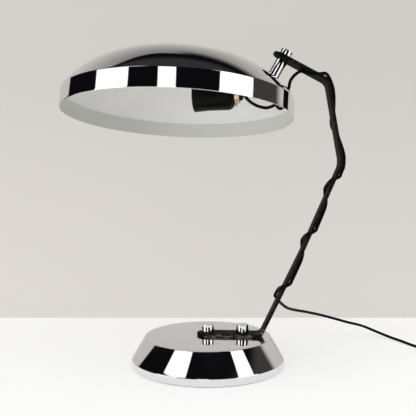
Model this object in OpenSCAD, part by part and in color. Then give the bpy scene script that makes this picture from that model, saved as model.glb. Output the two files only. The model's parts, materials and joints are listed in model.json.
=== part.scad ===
// Desk lamp: a spun metal dome shade that turns on a bent flat strip over a weighted round base.
// Millimetres. The origin is the middle of the underside of the base, +Z is up, the shade reaches to -X.

/* [Base] */
// Radius of the base at the table
base_r = 97.5; // [92:0.5:110]
// Height of the upright lip round the base
base_lip_h = 9.6; // [6:0.1:14]
// Radius of the flat disc on top of the base
base_top_r = 80; // [70:1:88]
// Height of the flat disc above the table
base_h = 35.7; // [30:0.1:45]
// Thickness of the spun base cover
base_wall = 1.2; // [0.8:0.1:2]
// Thickness of the felt pad under the base
pad_t = 3; // [2:0.5:4]
// Radius of the recess under the iron weight
recess_r = 62; // [56:1:70]
// Thickness of iron above the recess
weight_web = 14.5; // [12:0.5:16]

/* [Arm] */
// Width of the steel strip
arm_w = 28; // [24:1:32]
// Thickness of the steel strip
arm_t = 3.6; // [3:0.1:5]
// Distance from the middle stud to the second stud
stud_span = 44; // [36:1:50]
// Distance from the middle stud to the foot bend
foot_reach = 67; // [60:1:72]
// Length of the lower leg
leg_low = 122.9; // [110:0.1:135]
// Slope of the lower leg above the table, in degrees
leg_low_slope = 64.1; // [60:0.1:68]
// Length of the upper leg
leg_high = 116.6; // [110:0.1:130]
// Slope of the upper leg, in degrees
leg_high_slope = 66.4; // [62:0.1:70]
// Length of the neck that leans back over the base
neck = 104; // [98:0.1:115]
// Slope of the neck, in degrees
neck_slope = 99.6; // [96:0.1:104]
// Length of the strap from the top bend to the shade stud
strap = 62.5; // [58:0.1:68]
// Slope of the strap, in degrees
strap_slope = 150.6; // [148:0.1:156]
// Bend radius at the foot, knee, elbow and top
bend_r = 14; // [8:1:18]

/* [Studs and knobs] */
// Radius of the threaded studs
stud_r = 4; // [3:0.5:5]
// Radius of the thumb nuts
knob_r = 8.3; // [7:0.1:9]
// Height of the thumb nuts
knob_h = 11; // [9:0.5:14]
// Edge chamfer of the thumb nuts
knob_edge = 0.6; // [0.3:0.1:1]
// Washer thickness
washer_t = 1.6; // [1:0.1:2]
// Hexagon nut height
nut_h = 6.5; // [5:0.5:7]

/* [Shade] */
// Radius of the shade
shade_r = 150; // [140:1:158]
// Height of the upright band round the shade
band_h = 22; // [18:1:26]
// Radius of the shoulder curve above the band
shoulder_r = 120; // [110:1:130]
// Steepness of the shoulder where it leaves the band, in degrees
shoulder_from = 55; // [50:1:60]
// Steepness where the shoulder runs into the crown, in degrees
shoulder_to = 20; // [18:1:24]
// Thickness of the shade
shade_wall = 1; // [0.8:0.1:1.5]
// Distance of the shade stud in from the side of the shade
stud_inset = 13.6; // [11:0.1:18]
// Drop from the shade stud to the plane of the rim
shade_drop = 71.5; // [70:0.1:78]
// Tilt of the shade, lower towards the arm, in degrees
shade_tilt = 2; // [0:0.1:4]
// How far the shade is turned on its stud, in degrees
shade_turn = -7; // [-12:1:12]
// Radius of the spacer post between strap and shade
post_r = 7.9; // [7:0.1:9]
// Thickness of the friction washer under the strap
friction_t = 1; // [0.5:0.1:2]
// Distance from the strap down to the inner bracket
bracket_depth = 38; // [36:0.5:40]
// Thickness of the inner bracket
bracket_t = 2.5; // [2:0.1:3]
// Width of the inner bracket
bracket_w = 22; // [20:1:26]
// Distance of the lead hole in from the side of the shade
lead_hole_inset = 11; // [9:0.5:13]

/* [Lampholder] */
// Distance from the shade stud back to the bracket face
holder_back = 57.8; // [55:0.1:60]
// Drop from the shade stud to the lampholder axis
holder_drop = 45; // [44:0.1:49]
// Outer radius of the lampholder
holder_r = 18.6; // [18.4:0.1:20]
// Length of the lampholder from bracket to mouth
holder_len = 56.5; // [56:0.1:62]
// Flare at the mouth
holder_flare = 0.6; // [0:0.1:1.2]
// Wall of the lampholder
holder_wall = 2.3; // [2:0.1:2.6]
// Inner radius of the screw shell that takes the lamp cap
screw_r = 13.3; // [13.2:0.1:13.6]
// Thickness of the ring between bracket and lampholder
ring_t = 3.2; // [2:0.1:4]
// Radius of that ring
ring_r = 11; // [9:0.5:12]

/* [Lead] */
// Diameter of the lead
lead_d = 4; // [3.8:0.1:4.6]
// Number of times the lead goes round the arm
wraps = 3; // [2:1:3]
// Distance along the arm from one wrap to the next
wrap_pitch = 73; // [68:1:76]
// Distance along the arm in which the lead crosses the near face
wrap_cross = 21; // [18:1:26]

/* [Coil, switch and plug] */
// Outer radius of the coil, to the middle of the lead
coil_r = 27.5; // [27:0.5:32]
// Turns in each layer of the coil
coil_layer_turns = 2.25; // [1.75:0.5:2.25]
// Layers of the coil
coil_layers = 4; // [2:2:4]
// Length of the switch housing
switch_len = 62; // [56:1:66]
// Width of the switch housing
switch_w = 25; // [22:1:28]
// Height of the switch housing
switch_h = 17; // [16:0.5:20]
// Length of the plug body
plug_len = 35.3; // [34:0.1:37]
// Radius of a plug pin
pin_r = 2; // [1.9:0.05:2.1]
// Distance between the plug pins
pin_span = 18.6; // [17.5:0.1:19]

/* [Hidden] */
$fn = 96;
EPS = 0.01;
// Radial gap of a part that turns on its stud or pin
run_fit = 0.05;
// Radial gap of a hole that a stud only passes through
pass_fit = 0.1;
// Gap between faces that slide on each other
slide_gap = 0.1;
// Gap between a shaped foot and the sheet it stands on
seat_gap = 0.03;
// Gap between a loose shell and what it covers
shell_gap = 0.4;
// Height of the base cover's edge above the table
cover_lift = 0.8;
lead_r = lead_d / 2;
shade_reach = shade_r - stud_inset;
lead_hole_reach = shade_r - lead_hole_inset;
lead_gap = 0.3;
lead_sides = 8;

// Vectors and curves

function unit(v) = v / norm(v);
function heading(a) = [cos(a), sin(a)];

// A smooth curve through hand-placed points, with n steps from each to the next
function spline(p, n) = concat(
    [for (i = [0:len(p) - 2], k = [0:n - 1])
        let (a = p[max(i - 1, 0)], b = p[i], c = p[i + 1], d = p[min(i + 2, len(p) - 1)], t = k / n)
        0.5 * (2 * b + (c - a) * t + (2 * a - 5 * b + 4 * c - d) * t * t
            + (3 * b - a - 3 * c + d) * t * t * t)],
    [p[len(p) - 1]]);

// Directions along a path, with those at its two ends given
function directions(p, first, last) = concat(
    [first], [for (i = [1:len(p) - 2]) unit(p[i + 1] - p[i - 1])], [last]);

// Carries a sideways vector along a path without twisting it
function carried(t, u, i = 0) = i == len(t) ? [] :
    let (v = unit(u - (u * t[i]) * t[i])) concat([v], carried(t, v, i + 1));

// A solid tube along the smooth curve through a route's points, with square ends
module tube(route, steps, r, sides) {
    end = len(route) - 1;
    path = spline(route, steps);
    t = directions(path, unit(route[1] - route[0]), unit(route[end] - route[end - 1]));
    u = carried(t, abs(t[0][2]) > 0.8 ? [0, 1, 0] : [0, 0, 1]);
    last = (len(path) - 1) * sides;
    rings = [for (i = [0:len(path) - 1], j = [0:sides - 1])
        let (a = 360 * (j + 0.5) / sides)
        path[i] + r * (cos(a) * u[i] + sin(a) * cross(t[i], u[i]))];
    walls = [for (i = [0:len(path) - 2], j = [0:sides - 1])
        let (a = i * sides + j, b = i * sides + (j + 1) % sides)
        each [[a, a + sides, b + sides], [a, b + sides, b]]];
    ends = [for (j = [1:sides - 2]) each [[0, j, j + 1], [last, last + j + 1, last + j]]];
    polyhedron(rings, concat(walls, ends), convexity = 12);
}

// Points [along, up, slope] of a strip bent at each corner, from corner points and bend radii
function bent(p, r) = concat(
    [[p[0][0], p[0][1], slope_of(p, 0)]],
    [for (i = [1:len(p) - 2])
        let (h0 = slope_of(p, i - 1), turn = slope_of(p, i) - h0, curve = r[i - 1] * sign(turn),
            start = p[i] - heading(h0) * r[i - 1] * tan(abs(turn) / 2), steps = ceil(abs(turn) / 7))
        for (k = [0:steps])
            let (h = h0 + turn * k / steps)
            [start[0] + curve * (sin(h) - sin(h0)), start[1] - curve * (cos(h) - cos(h0)), h]],
    [[p[len(p) - 1][0], p[len(p) - 1][1], slope_of(p, len(p) - 2)]]);

function slope_of(p, i) =
    let (d = p[i + 1] - p[i], a = atan2(d[1], d[0])) a < -EPS ? a + 360 : a;

function strip_outline(line, t) = concat(
    [for (q = line) [q[0] - sin(q[2]) * t / 2, q[1] + cos(q[2]) * t / 2]],
    [for (i = [len(line) - 1:-1:0])
        let (q = line[i]) [q[0] + sin(q[2]) * t / 2, q[1] - cos(q[2]) * t / 2]]);

module bent_strip(line, t, w) {
    translate([0, w / 2, 0])
        rotate([90, 0, 0])
            linear_extrude(w) polygon(strip_outline(line, t));
}

// What a round strip end leaves over: everything past the stud that lies outside the half circle
module end_trim(w, t) {
    difference() {
        translate([-w, -w, -t]) cube([w, 2 * w, 2 * t]);
        cylinder(r = w / 2, h = 4 * t, center = true);
    }
}

module ring(r_out, r_in, h) {
    difference() {
        cylinder(r = r_out, h = h);
        translate([0, 0, -1]) cylinder(r = r_in, h = h + 2);
    }
}

// Base

lean = atan((base_r - base_top_r) / (base_h - base_lip_h));
disc_under = base_h - base_wall;
recess_top = disc_under - weight_web;
weight_inset = base_wall + shell_gap;
arm_under = base_h;
arm_top = base_h + arm_t;
stud_places = [0, stud_span];
thumb_depth = knob_h - 2.5;
nut_r = stud_r * 1.88;

// Outline of the base cover, moved inwards by inset, from the lip to the axis
function cover_line(inset, top, bottom) = [
    [base_r - inset, bottom],
    [base_r - inset, base_lip_h - inset * tan(lean / 2)],
    [base_top_r - inset * tan(45 - lean / 2), top],
    [0, top]
];

module at_studs() {
    for (x = stud_places) translate([x, 0, 0]) children();
}

module base_shell() {
    outer = cover_line(0, base_h, cover_lift);
    inner = cover_line(base_wall, disc_under, cover_lift);
    color("gainsboro")
        difference() {
            rotate_extrude() polygon(concat(outer, [inner[3], inner[2], inner[1], inner[0]]));
            at_studs() cylinder(r = stud_r + pass_fit, h = base_h + 1);
        }
}

module base_weight() {
    line = cover_line(weight_inset, disc_under, pad_t);
    color("dimgray")
        difference() {
            rotate_extrude()
                polygon(concat([[recess_r, pad_t]], line, [[0, recess_top], [recess_r, recess_top]]));
            at_studs() cylinder(r = stud_r + pass_fit, h = base_h);
        }
}

module base_pad() {
    color("darkgreen") cylinder(r = base_r - weight_inset, h = pad_t);
}

stud_foot = recess_top - washer_t - nut_h - 1.5;

module base_studs() {
    color("silver")
        at_studs()
            translate([0, 0, stud_foot])
                cylinder(r = stud_r, h = arm_top + thumb_depth - 0.5 - stud_foot);
}

module base_washers() {
    color("silver")
        at_studs()
            translate([0, 0, recess_top - washer_t])
                ring(stud_r * 2, stud_r + pass_fit, washer_t);
}

module hex_nut() {
    difference() {
        cylinder(r = nut_r, h = nut_h, $fn = 6);
        translate([0, 0, -1]) cylinder(r = stud_r + run_fit, h = nut_h + 2);
    }
}

module base_nuts() {
    color("silver")
        at_studs() translate([0, 0, recess_top - washer_t - nut_h]) hex_nut();
}

// Thumb nuts: plain turned cylinders with a chamfer at each edge and a blind threaded hole

module thumb_nut() {
    difference() {
        rotate_extrude()
            polygon([
                [0, 0], [knob_r - knob_edge, 0], [knob_r, knob_edge],
                [knob_r, knob_h - knob_edge], [knob_r - knob_edge, knob_h], [0, knob_h]
            ]);
        translate([0, 0, -1]) cylinder(r = stud_r + run_fit, h = thumb_depth + 1);
    }
}

module knob_left() {
    color("lightgray") translate([stud_places[0], 0, arm_top + slide_gap]) thumb_nut();
}

module knob_right() {
    color("lightgray") translate([stud_places[1], 0, arm_top + slide_gap]) thumb_nut();
}

// Arm: one flat strip, bent five times, with round ends about the studs

arm_end = arm_w / 2;
foot_bend = [foot_reach, arm_under + arm_t / 2];
knee = foot_bend + leg_low * heading(leg_low_slope);
elbow = knee + leg_high * heading(leg_high_slope);
top_bend = elbow + neck * heading(neck_slope);
pivot_xz = top_bend + strap * heading(strap_slope);
arm_corners = [
    [-arm_end, foot_bend[1]], foot_bend, knee, elbow, top_bend,
    pivot_xz + arm_end * heading(strap_slope)
];
arm_line = bent(arm_corners, [bend_r * 0.6, bend_r * 12, bend_r * 2, bend_r]);
pivot = [pivot_xz[0], 0, pivot_xz[1]];
post_lean = 180 - strap_slope;
post_axis = [sin(post_lean), 0, cos(post_lean)];

module at_pivot() {
    translate(pivot) rotate([0, post_lean, 0]) children();
}

module arm_strip() {
    color("#202020")
        difference() {
            bent_strip(arm_line, arm_t, arm_w);
            at_studs() translate([0, 0, arm_under - 1]) cylinder(r = stud_r + pass_fit, h = arm_t + 2);
            translate([0, 0, foot_bend[1]]) end_trim(arm_w, arm_t);
            at_pivot() {
                cylinder(r = stud_r + pass_fit, h = arm_t + 2, center = true);
                end_trim(arm_w, arm_t);
            }
        }
}

// Shade: the post, the dome and all inside it turn together about the shade stud

module shade_turned() {
    translate(pivot) rotate(a = shade_turn, v = post_axis) translate(-pivot) children();
}

module at_shade() {
    translate([pivot[0] - shade_reach, 0, pivot[2] - shade_drop])
        rotate([0, shade_tilt, 0]) children();
}

shoulder_mid = [shade_r - shoulder_r * sin(shoulder_from), band_h - shoulder_r * cos(shoulder_from)];
crown_r = (shoulder_mid[0] + shoulder_r * sin(shoulder_to)) / sin(shoulder_to);
crown_mid = shoulder_mid[1] + (shoulder_r - crown_r) * cos(shoulder_to);

// Outline of the dome from rim to crown, moved inwards by inset
function dome_line(inset) =
    let (from = asin((shoulder_r * sin(shoulder_from) - inset) / (shoulder_r - inset)))
    concat(
        [[shade_r - inset, 0]],
        [for (k = [0:12]) let (a = from + (shoulder_to - from) * k / 12)
            shoulder_mid + (shoulder_r - inset) * [sin(a), cos(a)]],
        [for (k = [1:8]) let (a = shoulder_to * (1 - k / 8))
            [(crown_r - inset) * sin(a), crown_mid + (crown_r - inset) * cos(a)]]);

function backwards(p) = [for (i = [len(p) - 1:-1:0]) p[i]];

// The whole space under a dome outline
module dome_space(inset) {
    at_shade() rotate_extrude() polygon(concat([[0, 0]], dome_line(inset)));
}

// Where the lead passes through the shoulder, and how steep the sheet is there
lead_hole_slope = asin((lead_hole_reach - shoulder_mid[0]) / shoulder_r);
lead_hole_up = shoulder_mid[1] + (shoulder_r - shade_wall / 2) * cos(lead_hole_slope);
grommet_r = lead_r + 1.6;

module at_lead_hole() {
    at_shade()
        translate([lead_hole_reach, 0, lead_hole_up]) rotate([0, lead_hole_slope, 0]) children();
}

module shade_shell() {
    color("lightgray")
        shade_turned()
            difference() {
                at_shade()
                    rotate_extrude() polygon(concat(dome_line(0), backwards(dome_line(shade_wall))));
                at_pivot() translate([0, 0, -2 * bracket_depth])
                    cylinder(r = stud_r + pass_fit, h = 2 * bracket_depth);
                at_lead_hole() cylinder(r = grommet_r + run_fit, h = 12, center = true);
            }
}

stud_top = arm_t / 2 + thumb_depth - 0.5;
stud_tail = bracket_depth + bracket_t + washer_t + nut_h + 2;

module shade_stud() {
    color("silver")
        at_pivot() translate([0, 0, -stud_tail]) cylinder(r = stud_r, h = stud_tail + stud_top);
}

module shade_knob() {
    color("lightgray") at_pivot() translate([0, 0, arm_t / 2 + slide_gap]) thumb_nut();
}

strap_under = arm_t / 2 + slide_gap;

module friction_washer() {
    color("#503020")
        shade_turned()
            at_pivot() translate([0, 0, -strap_under - friction_t])
                ring(post_r, stud_r + run_fit, friction_t);
}

// The post is turned tube, its foot shaped to the dome it stands on
module shade_post() {
    color("lightgray")
        shade_turned()
            difference() {
                at_pivot() translate([0, 0, -bracket_depth])
                    ring(post_r, stud_r + run_fit, bracket_depth - strap_under - friction_t);
                dome_space(-seat_gap);
            }
}

// Inside the dome a shorter tube holds the bracket square to the stud
module inner_spacer() {
    color("silver")
        shade_turned()
            intersection() {
                at_pivot() translate([0, 0, -bracket_depth])
                    ring(post_r - 1, stud_r + run_fit, bracket_depth - strap_under);
                dome_space(shade_wall + seat_gap);
            }
}

holder_face = pivot[0] - holder_back;
holder_z = pivot[2] - holder_drop;
nipple_r = 5;
nipple_bore = lead_r + 0.6;
bracket_seat = pivot_xz - (bracket_depth + bracket_t / 2) * [sin(post_lean), cos(post_lean)];
bracket_x = holder_face + bracket_t / 2;
bracket_top = bracket_seat + heading(strap_slope) * (bracket_seat[0] - bracket_x) / cos(post_lean);
bracket_corners = [
    bracket_seat - heading(strap_slope) * bracket_w / 2,
    bracket_top,
    [bracket_x, holder_z - bracket_w / 2]
];
bracket_line = bent(bracket_corners, [2 * bracket_t]);

module at_holder() {
    translate([holder_face, 0, holder_z]) rotate([0, -90, 0]) children();
}

module holder_bracket() {
    color("gray")
        shade_turned()
            difference() {
                bent_strip(bracket_line, bracket_t, bracket_w);
                at_pivot() translate([0, 0, -bracket_depth - bracket_t - 1])
                    cylinder(r = stud_r + run_fit, h = bracket_t + 2);
                translate([pivot[0], 0, pivot[2]]) rotate([0, post_lean, 0])
                    translate([0, 0, -bracket_depth - bracket_t / 2])
                        mirror([1, 0, 0]) end_trim(bracket_w, bracket_t);
                at_holder() {
                    translate([0, 0, -bracket_t - 1]) cylinder(r = nipple_r + run_fit, h = bracket_t + 2);
                    translate([0, 0, -bracket_t / 2]) end_trim(bracket_w, bracket_t);
                }
            }
}

module bracket_washer() {
    color("silver")
        shade_turned()
            at_pivot() translate([0, 0, -bracket_depth - bracket_t - washer_t])
                ring(stud_r * 2, stud_r + run_fit, washer_t);
}

module bracket_nut() {
    color("silver")
        shade_turned()
            at_pivot() translate([0, 0, -bracket_depth - bracket_t - washer_t - nut_h]) hex_nut();
}

// Lampholder: a moulded cap and skirt round a ceramic insert, on a hollow threaded nipple

cap_round = 10;
neck_len = 8;
neck_r = holder_r - holder_wall - 0.1;
skirt_from = ring_t + (holder_len - ring_t) * 0.35;
insert_r = neck_r - holder_wall + 0.05;
insert_from = skirt_from - 7;
insert_to = skirt_from + neck_len + 2;

lock_r = 1.2;

module at_lock() {
    at_holder() translate([0, 0, ring_t / 2]) rotate([0, -90, 0]) children();
}

module nipple_ring() {
    color("goldenrod")
        shade_turned()
            difference() {
                at_holder() ring(ring_r, nipple_r + run_fit, ring_t);
                at_lock() cylinder(r = lock_r + run_fit, h = ring_r + 1);
            }
}

// Locks the ring to the nipple, its slotted end standing out below
module lock_screw() {
    screw_len = 9.5;
    color("silver")
        shade_turned()
            at_lock()
                translate([0, 0, nipple_r + slide_gap])
                    difference() {
                        cylinder(r = lock_r, h = screw_len);
                        translate([-2, -0.3, screw_len - 1]) cube([4, 0.6, 2]);
                    }
}

nipple_back = bracket_t + 3;
nipple_front = ring_t + holder_wall + 4;

module holder_nipple() {
    color("goldenrod")
        shade_turned()
            at_holder() translate([0, 0, -nipple_back])
                ring(nipple_r, nipple_bore, nipple_back + nipple_front);
}

// Quarter circle of a turned edge, from the flat side to the upright side
function rounding(r_edge, z_edge, r) =
    [for (k = [0:5]) let (a = 18 * k) [r_edge - r + r * sin(a), z_edge + r - r * cos(a)]];

module holder_cap() {
    inner_r = holder_r - holder_wall;
    color("#181818")
        shade_turned()
            at_holder()
                rotate_extrude()
                    polygon(concat(
                        [[nipple_r + run_fit, ring_t]],
                        rounding(holder_r, ring_t, cap_round),
                        [[holder_r, skirt_from], [neck_r, skirt_from], [neck_r, skirt_from + neck_len],
                            [insert_r + run_fit, skirt_from + neck_len],
                            [insert_r + run_fit, insert_from - 1]],
                        backwards(rounding(inner_r - 0.8, ring_t + holder_wall, cap_round - holder_wall)),
                        [[nipple_r + run_fit, ring_t + holder_wall]]));
}

module holder_skirt() {
    bore = neck_r + run_fit;
    color("#181818")
        shade_turned()
            at_holder()
                difference() {
                    rotate_extrude()
                        polygon([
                            [bore, skirt_from + slide_gap], [holder_r, skirt_from + slide_gap],
                            [holder_r, holder_len - 7], [holder_r + holder_flare, holder_len - 2],
                            [holder_r + holder_flare, holder_len],
                            [holder_r + holder_flare - holder_wall, holder_len], [bore, holder_len - 7]
                        ]);
                    // Slot in the edge of the mouth, for the catch that keeps the skirt from turning
                    translate([0, holder_r, holder_len - 9]) cylinder(r = 1.6, h = 12);
                }
}

terminal_off = 8;

module holder_insert() {
    color("ivory")
        shade_turned()
            at_holder()
                difference() {
                    translate([0, 0, insert_from]) cylinder(r = insert_r, h = insert_to - insert_from);
                    for (y = [-terminal_off, terminal_off])
                        translate([0, y, insert_from - 1]) cylinder(r = 1.6, h = 8);
                    translate([0, 0, insert_from - 1]) cylinder(r = 2.2, h = 6);
                }
}

contact_h = 3.5;
shell_t = 0.8;
shell_len = holder_len - insert_to - 5;

// The thread starts above the centre contact, and below it the shell is wider inside
module screw_shell() {
    floor_r = screw_r - 4;
    thread_from = contact_h + slide_gap;
    color("goldenrod")
        shade_turned()
            at_holder()
                translate([0, 0, insert_to])
                    rotate_extrude()
                        polygon([
                            [floor_r, 0], [screw_r + shell_t, 0], [screw_r + shell_t, shell_len],
                            [screw_r, shell_len], [screw_r, thread_from],
                            [screw_r + shell_t / 2, thread_from], [screw_r + shell_t / 2, shell_t],
                            [floor_r, shell_t]
                        ]);
}

module centre_contact() {
    color("goldenrod")
        shade_turned()
            at_holder()
                translate([0, 0, insert_to]) {
                    cylinder(r = 4, h = 1);
                    cylinder(r = 2.2, h = contact_h);
                }
}

module terminal_screws() {
    color("silver")
        shade_turned()
            at_holder()
                for (y = [-terminal_off, terminal_off])
                    translate([0, y, insert_from]) {
                        cylinder(r = 1.5, h = 6);
                        translate([0, 0, -2]) cylinder(r = 2.8, h = 2);
                    }
}

gland_len = 4.4;
gland_r = 7;
gland_tip_r = 5.2;
gland_step = bracket_t + gland_len - nipple_back - slide_gap;

module cord_gland() {
    color("#181818")
        shade_turned()
            at_holder()
                translate([0, 0, -bracket_t - gland_len])
                    rotate_extrude()
                        polygon([
                            [lead_r + run_fit, 0], [gland_tip_r, 0], [gland_r, 1.6],
                            [gland_r, gland_len], [nipple_r + run_fit, gland_len],
                            [nipple_r + run_fit, gland_step], [lead_r + run_fit, gland_step]
                        ]);
}

module lead_grommet() {
    flange = 1.5;
    half = shade_wall / 2 + 0.45;
    color("#181818")
        shade_turned()
            at_lead_hole()
                rotate_extrude()
                    polygon([
                        [lead_r + run_fit, -half - flange], [grommet_r + 1.8, -half - flange],
                        [grommet_r + 2, -half], [grommet_r, -half], [grommet_r, half],
                        [grommet_r + 2, half], [grommet_r + 1.8, half + flange],
                        [lead_r + run_fit, half + flange]
                    ]);
}

// Lead. Its points inside the dome and above it are placed by hand, in the lamp's own frame with
// the shade not turned. Each joins the straight piece that lies in the grommet.

function tilted(p, a) = [p[0] * cos(a) + p[2] * sin(a), p[1], p[2] * cos(a) - p[0] * sin(a)];
hole_mid = [pivot[0] - shade_reach, 0, pivot[2] - shade_drop]
    + tilted([lead_hole_reach, 0, lead_hole_up], shade_tilt);
hole_out = tilted([0, 0, 1], shade_tilt + lead_hole_slope);

// Turns a point about the post, as the shade is turned
function turned(p) =
    let (q = p - pivot, k = post_axis)
    pivot + q * cos(shade_turn) + cross(k, q) * sin(shade_turn) + k * (k * q) * (1 - cos(shade_turn));

lead_start = [holder_face - nipple_front - 3, 0, holder_z];
gland_mouth = [holder_face + bracket_t + gland_len, 0, holder_z];
inner_sag = [
    [8, 0.3, -5.2], [15, 0.6, -11.6], [22, 0.8, -15.6], [29.5, 1, -17.4], [37, 1, -15.8],
    [42, 0.8, -13.9], [46.5, 0.6, -17.6], [50.5, 0.4, -15.2]
];
inner_route = concat(
    [lead_start, [holder_face, 0, holder_z], gland_mouth, gland_mouth + [3, 0, 0]],
    [for (d = inner_sag) gland_mouth + d],
    [hole_mid - 14 * hole_out + [2, 0, -4]],
    [for (d = [-6, -4.5, -3, -1.5, 0]) hole_mid + d * hole_out]);

module lead_inner() {
    color("#181818") shade_turned() tube(inner_route, 3, lead_r, lead_sides);
}

// Arm coordinates: distance along the arm from its foot end, across its width and out from its
// middle, towards the shade where positive

function lengths(line, i = 0, s = 0) = i == len(line) ? [] :
    concat([s], i == len(line) - 1 ? [] : lengths(line, i + 1,
        s + norm([line[i + 1][0] - line[i][0], line[i + 1][1] - line[i][1]])));
arm_lengths = lengths(arm_line);
function arm_value(s, k) = lookup(s, [for (i = [0:len(arm_line) - 1]) [arm_lengths[i], arm_line[i][k]]]);
function on_arm(p) =
    let (a = arm_value(p[0], 2))
    [arm_value(p[0], 0) - sin(a) * p[2], p[1], arm_value(p[0], 1) + cos(a) * p[2]];

arm_len = arm_lengths[len(arm_lengths) - 1];
face_off = arm_t / 2 + lead_r + lead_gap;
edge_off = arm_w / 2 + lead_r + lead_gap;
corner_in = (lead_r + lead_gap) * 0.76;
corner = [arm_w / 2 + corner_in, arm_t / 2 + corner_in];
first_wrap = arm_len - 202.7;
wrap_back = wrap_pitch - wrap_cross;

// One turn round the strip, from the front edge over the near face to the back edge and back
// behind it: distance down the arm, place across it and distance out
one_wrap = [
    [0, -edge_off, 0], [0.1 * wrap_cross, -corner[0], corner[1]],
    [0.25 * wrap_cross, -0.38 * arm_w, face_off], [0.5 * wrap_cross, 0, face_off],
    [0.75 * wrap_cross, 0.38 * arm_w, face_off], [0.9 * wrap_cross, corner[0], corner[1]],
    [wrap_cross, edge_off, 0]
];
wrap_return = [
    [wrap_cross + 0.06 * wrap_back, corner[0], -corner[1]],
    [wrap_cross + 0.17 * wrap_back, 0.38 * arm_w, -face_off],
    [wrap_cross + 0.5 * wrap_back, 0, -face_off],
    [wrap_cross + 0.83 * wrap_back, -0.38 * arm_w, -face_off],
    [wrap_cross + 0.94 * wrap_back, -corner[0], -corner[1]]
];
lead_join = [arm_len - 44, -3, face_off];
wrap_places = concat(
    [lead_join, lead_join + [-8, -6, 0], [arm_len - 58, -0.42 * arm_w, face_off],
        [arm_len - 61, -corner[0], corner[1]], [arm_len - 63.5, -edge_off, 0],
        [arm_len - 66, -corner[0], -corner[1]], [arm_len - 70, -0.38 * arm_w, -face_off],
        [arm_len - 80, -4, -face_off], [arm_len - 95, 7, -face_off],
        [arm_len - 110, corner[0] - 1, -corner[1] - 0.4], [arm_len - 118, corner[0] - 0.5, -corner[1]],
        [arm_len - 128, 9, -face_off], [arm_len - 155, 3, -face_off], [arm_len - 180, -2, -face_off],
        [arm_len - 195, -0.34 * arm_w, -face_off], [arm_len - 202, -corner[0], -corner[1]]],
    [for (k = [0:wraps - 1])
        each [for (q = k < wraps - 1 ? concat(one_wrap, wrap_return) : one_wrap)
            [first_wrap - k * wrap_pitch - q[0], q[1], q[2]]]]);
wrap_route = [for (p = wrap_places) on_arm(p)];
lead_exit = wrap_route[len(wrap_route) - 1];

module lead_wrap() {
    color("#181818") tube(wrap_route, 4, lead_r, lead_sides);
}

loop_end = wrap_route[0];
loop_way = unit(wrap_route[1] - loop_end);
loop_out = turned(hole_mid + 5.5 * hole_out);
loop_route = concat(
    [for (d = [0, 1.5, 3, 4.2]) turned(hole_mid + d * hole_out)],
    [loop_out + [1.5, -1, 6.5], loop_end + [-9, 4.5, -4.5], loop_end - 4 * loop_way, loop_end]);

module lead_loop() {
    color("#181818") tube(loop_route, 4, lead_r, lead_sides);
}

// Free cord. Its points are placed by hand: it leaves the arm's back edge, comes down behind the
// base and turns forward on the table to the coil.

cord_r = lead_r;
lay = cord_r;
coil_lift = 0.8;
coil_mid = [326, 66];
coil_gap = 0.5;
coil_pitch = lead_d + coil_gap;
coil_turns = coil_layer_turns * coil_layers;
coil_rings = 24;
coil_sides = 6;
coil_low = lay + coil_lift;

function smooth(t) = let (c = max(0, min(1, t))) c * c * (3 - 2 * c);
// How far the coil has spiralled in at a given turn: in through one layer and out through the next
function coil_in(turn) =
    let (k = turn / coil_layer_turns, f = k - 2 * floor(k / 2)) coil_layer_turns * (f > 1 ? 2 - f : f);
function coil_climb(turn) = coil_layers < 2 ? 0 :
    [for (k = [1:coil_layers - 1]) smooth((turn - k * coil_layer_turns + 0.25) / 0.5)]
    * [for (k = [1:coil_layers - 1]) 1];
function coil_at(turn) =
    let (r = coil_r - coil_pitch * coil_in(turn), a = 180 + 360 * turn)
    [coil_mid[0] + r * cos(a), coil_mid[1] + r * sin(a), coil_low + coil_pitch * coil_climb(turn)];

coil_start = coil_at(0);
coil_end = coil_at(coil_turns);
end_way = [sin(360 * coil_turns), -cos(360 * coil_turns), 0];
coil_path = concat(
    [coil_start + [0, lead_d, 0]],
    [for (k = [0:coil_rings * coil_turns]) coil_at(k / coil_rings)],
    [coil_end + lead_d * end_way]);

coil_least = min([for (i = [0:len(coil_path) - 1], j = [i + 12:1:len(coil_path) - 1])
    norm(coil_path[i] - coil_path[j])]) - lead_d;
echo(least_gap_between_coil_turns = coil_least);

function length_of(p) =
    let (n = [for (i = [1:len(p) - 1]) norm(p[i] - p[i - 1])]) n * [for (x = n) 1];

exit_way = unit(lead_exit - wrap_route[len(wrap_route) - 2]);
run_route = concat(
    [lead_exit, lead_exit + 3 * exit_way],
    [
        [95.3, 37.6, 70.5], [103.9, 56.3, 61.5], [114.8, 83.3, 53.5], [138, 120.2, 43],
        [162.9, 148.2, 33], [188.6, 165.3, 23.5], [208, 173.9, 17], [222.9, 175.5, 13.5],
        [233.3, 170.8, 11], [242, 162.5, 8.6], [253, 150.3, 5.8], [263, 137.1, 3.8],
        [273.2, 122.8, 2.6], [286.4, 96, lay]
    ],
    [coil_path[0] + [0, 6, 0], coil_path[0]]);

module cord_run() {
    color("#181818") tube(run_route, 4, cord_r, lead_sides);
}

module cord_coil() {
    color("#181818") tube(coil_path, 1, cord_r, coil_sides);
}

// A band of thin strip round the turns, on the side away from the lamp
module cord_tie() {
    tie_t = 0.5;
    tie_w = 8;
    space = 0.25;
    r_in = coil_r - coil_pitch * coil_layer_turns - cord_r - space;
    r_out = coil_r + cord_r + space;
    top = coil_low + coil_pitch * (coil_layers - 1) + cord_r + space;
    color("#404040")
        translate([coil_mid[0], coil_mid[1] + tie_w / 2, 0])
            rotate([90, 0, 0])
                linear_extrude(tie_w)
                    difference() {
                        translate([r_in - tie_t, 0.02])
                            square([r_out - r_in + 2 * tie_t, top + tie_t]);
                        translate([r_in, 0.02 + tie_t]) square([r_out - r_in, top - tie_t]);
                    }
}

// Inline switch, lying flat, with a rocker on a pin across it

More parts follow.
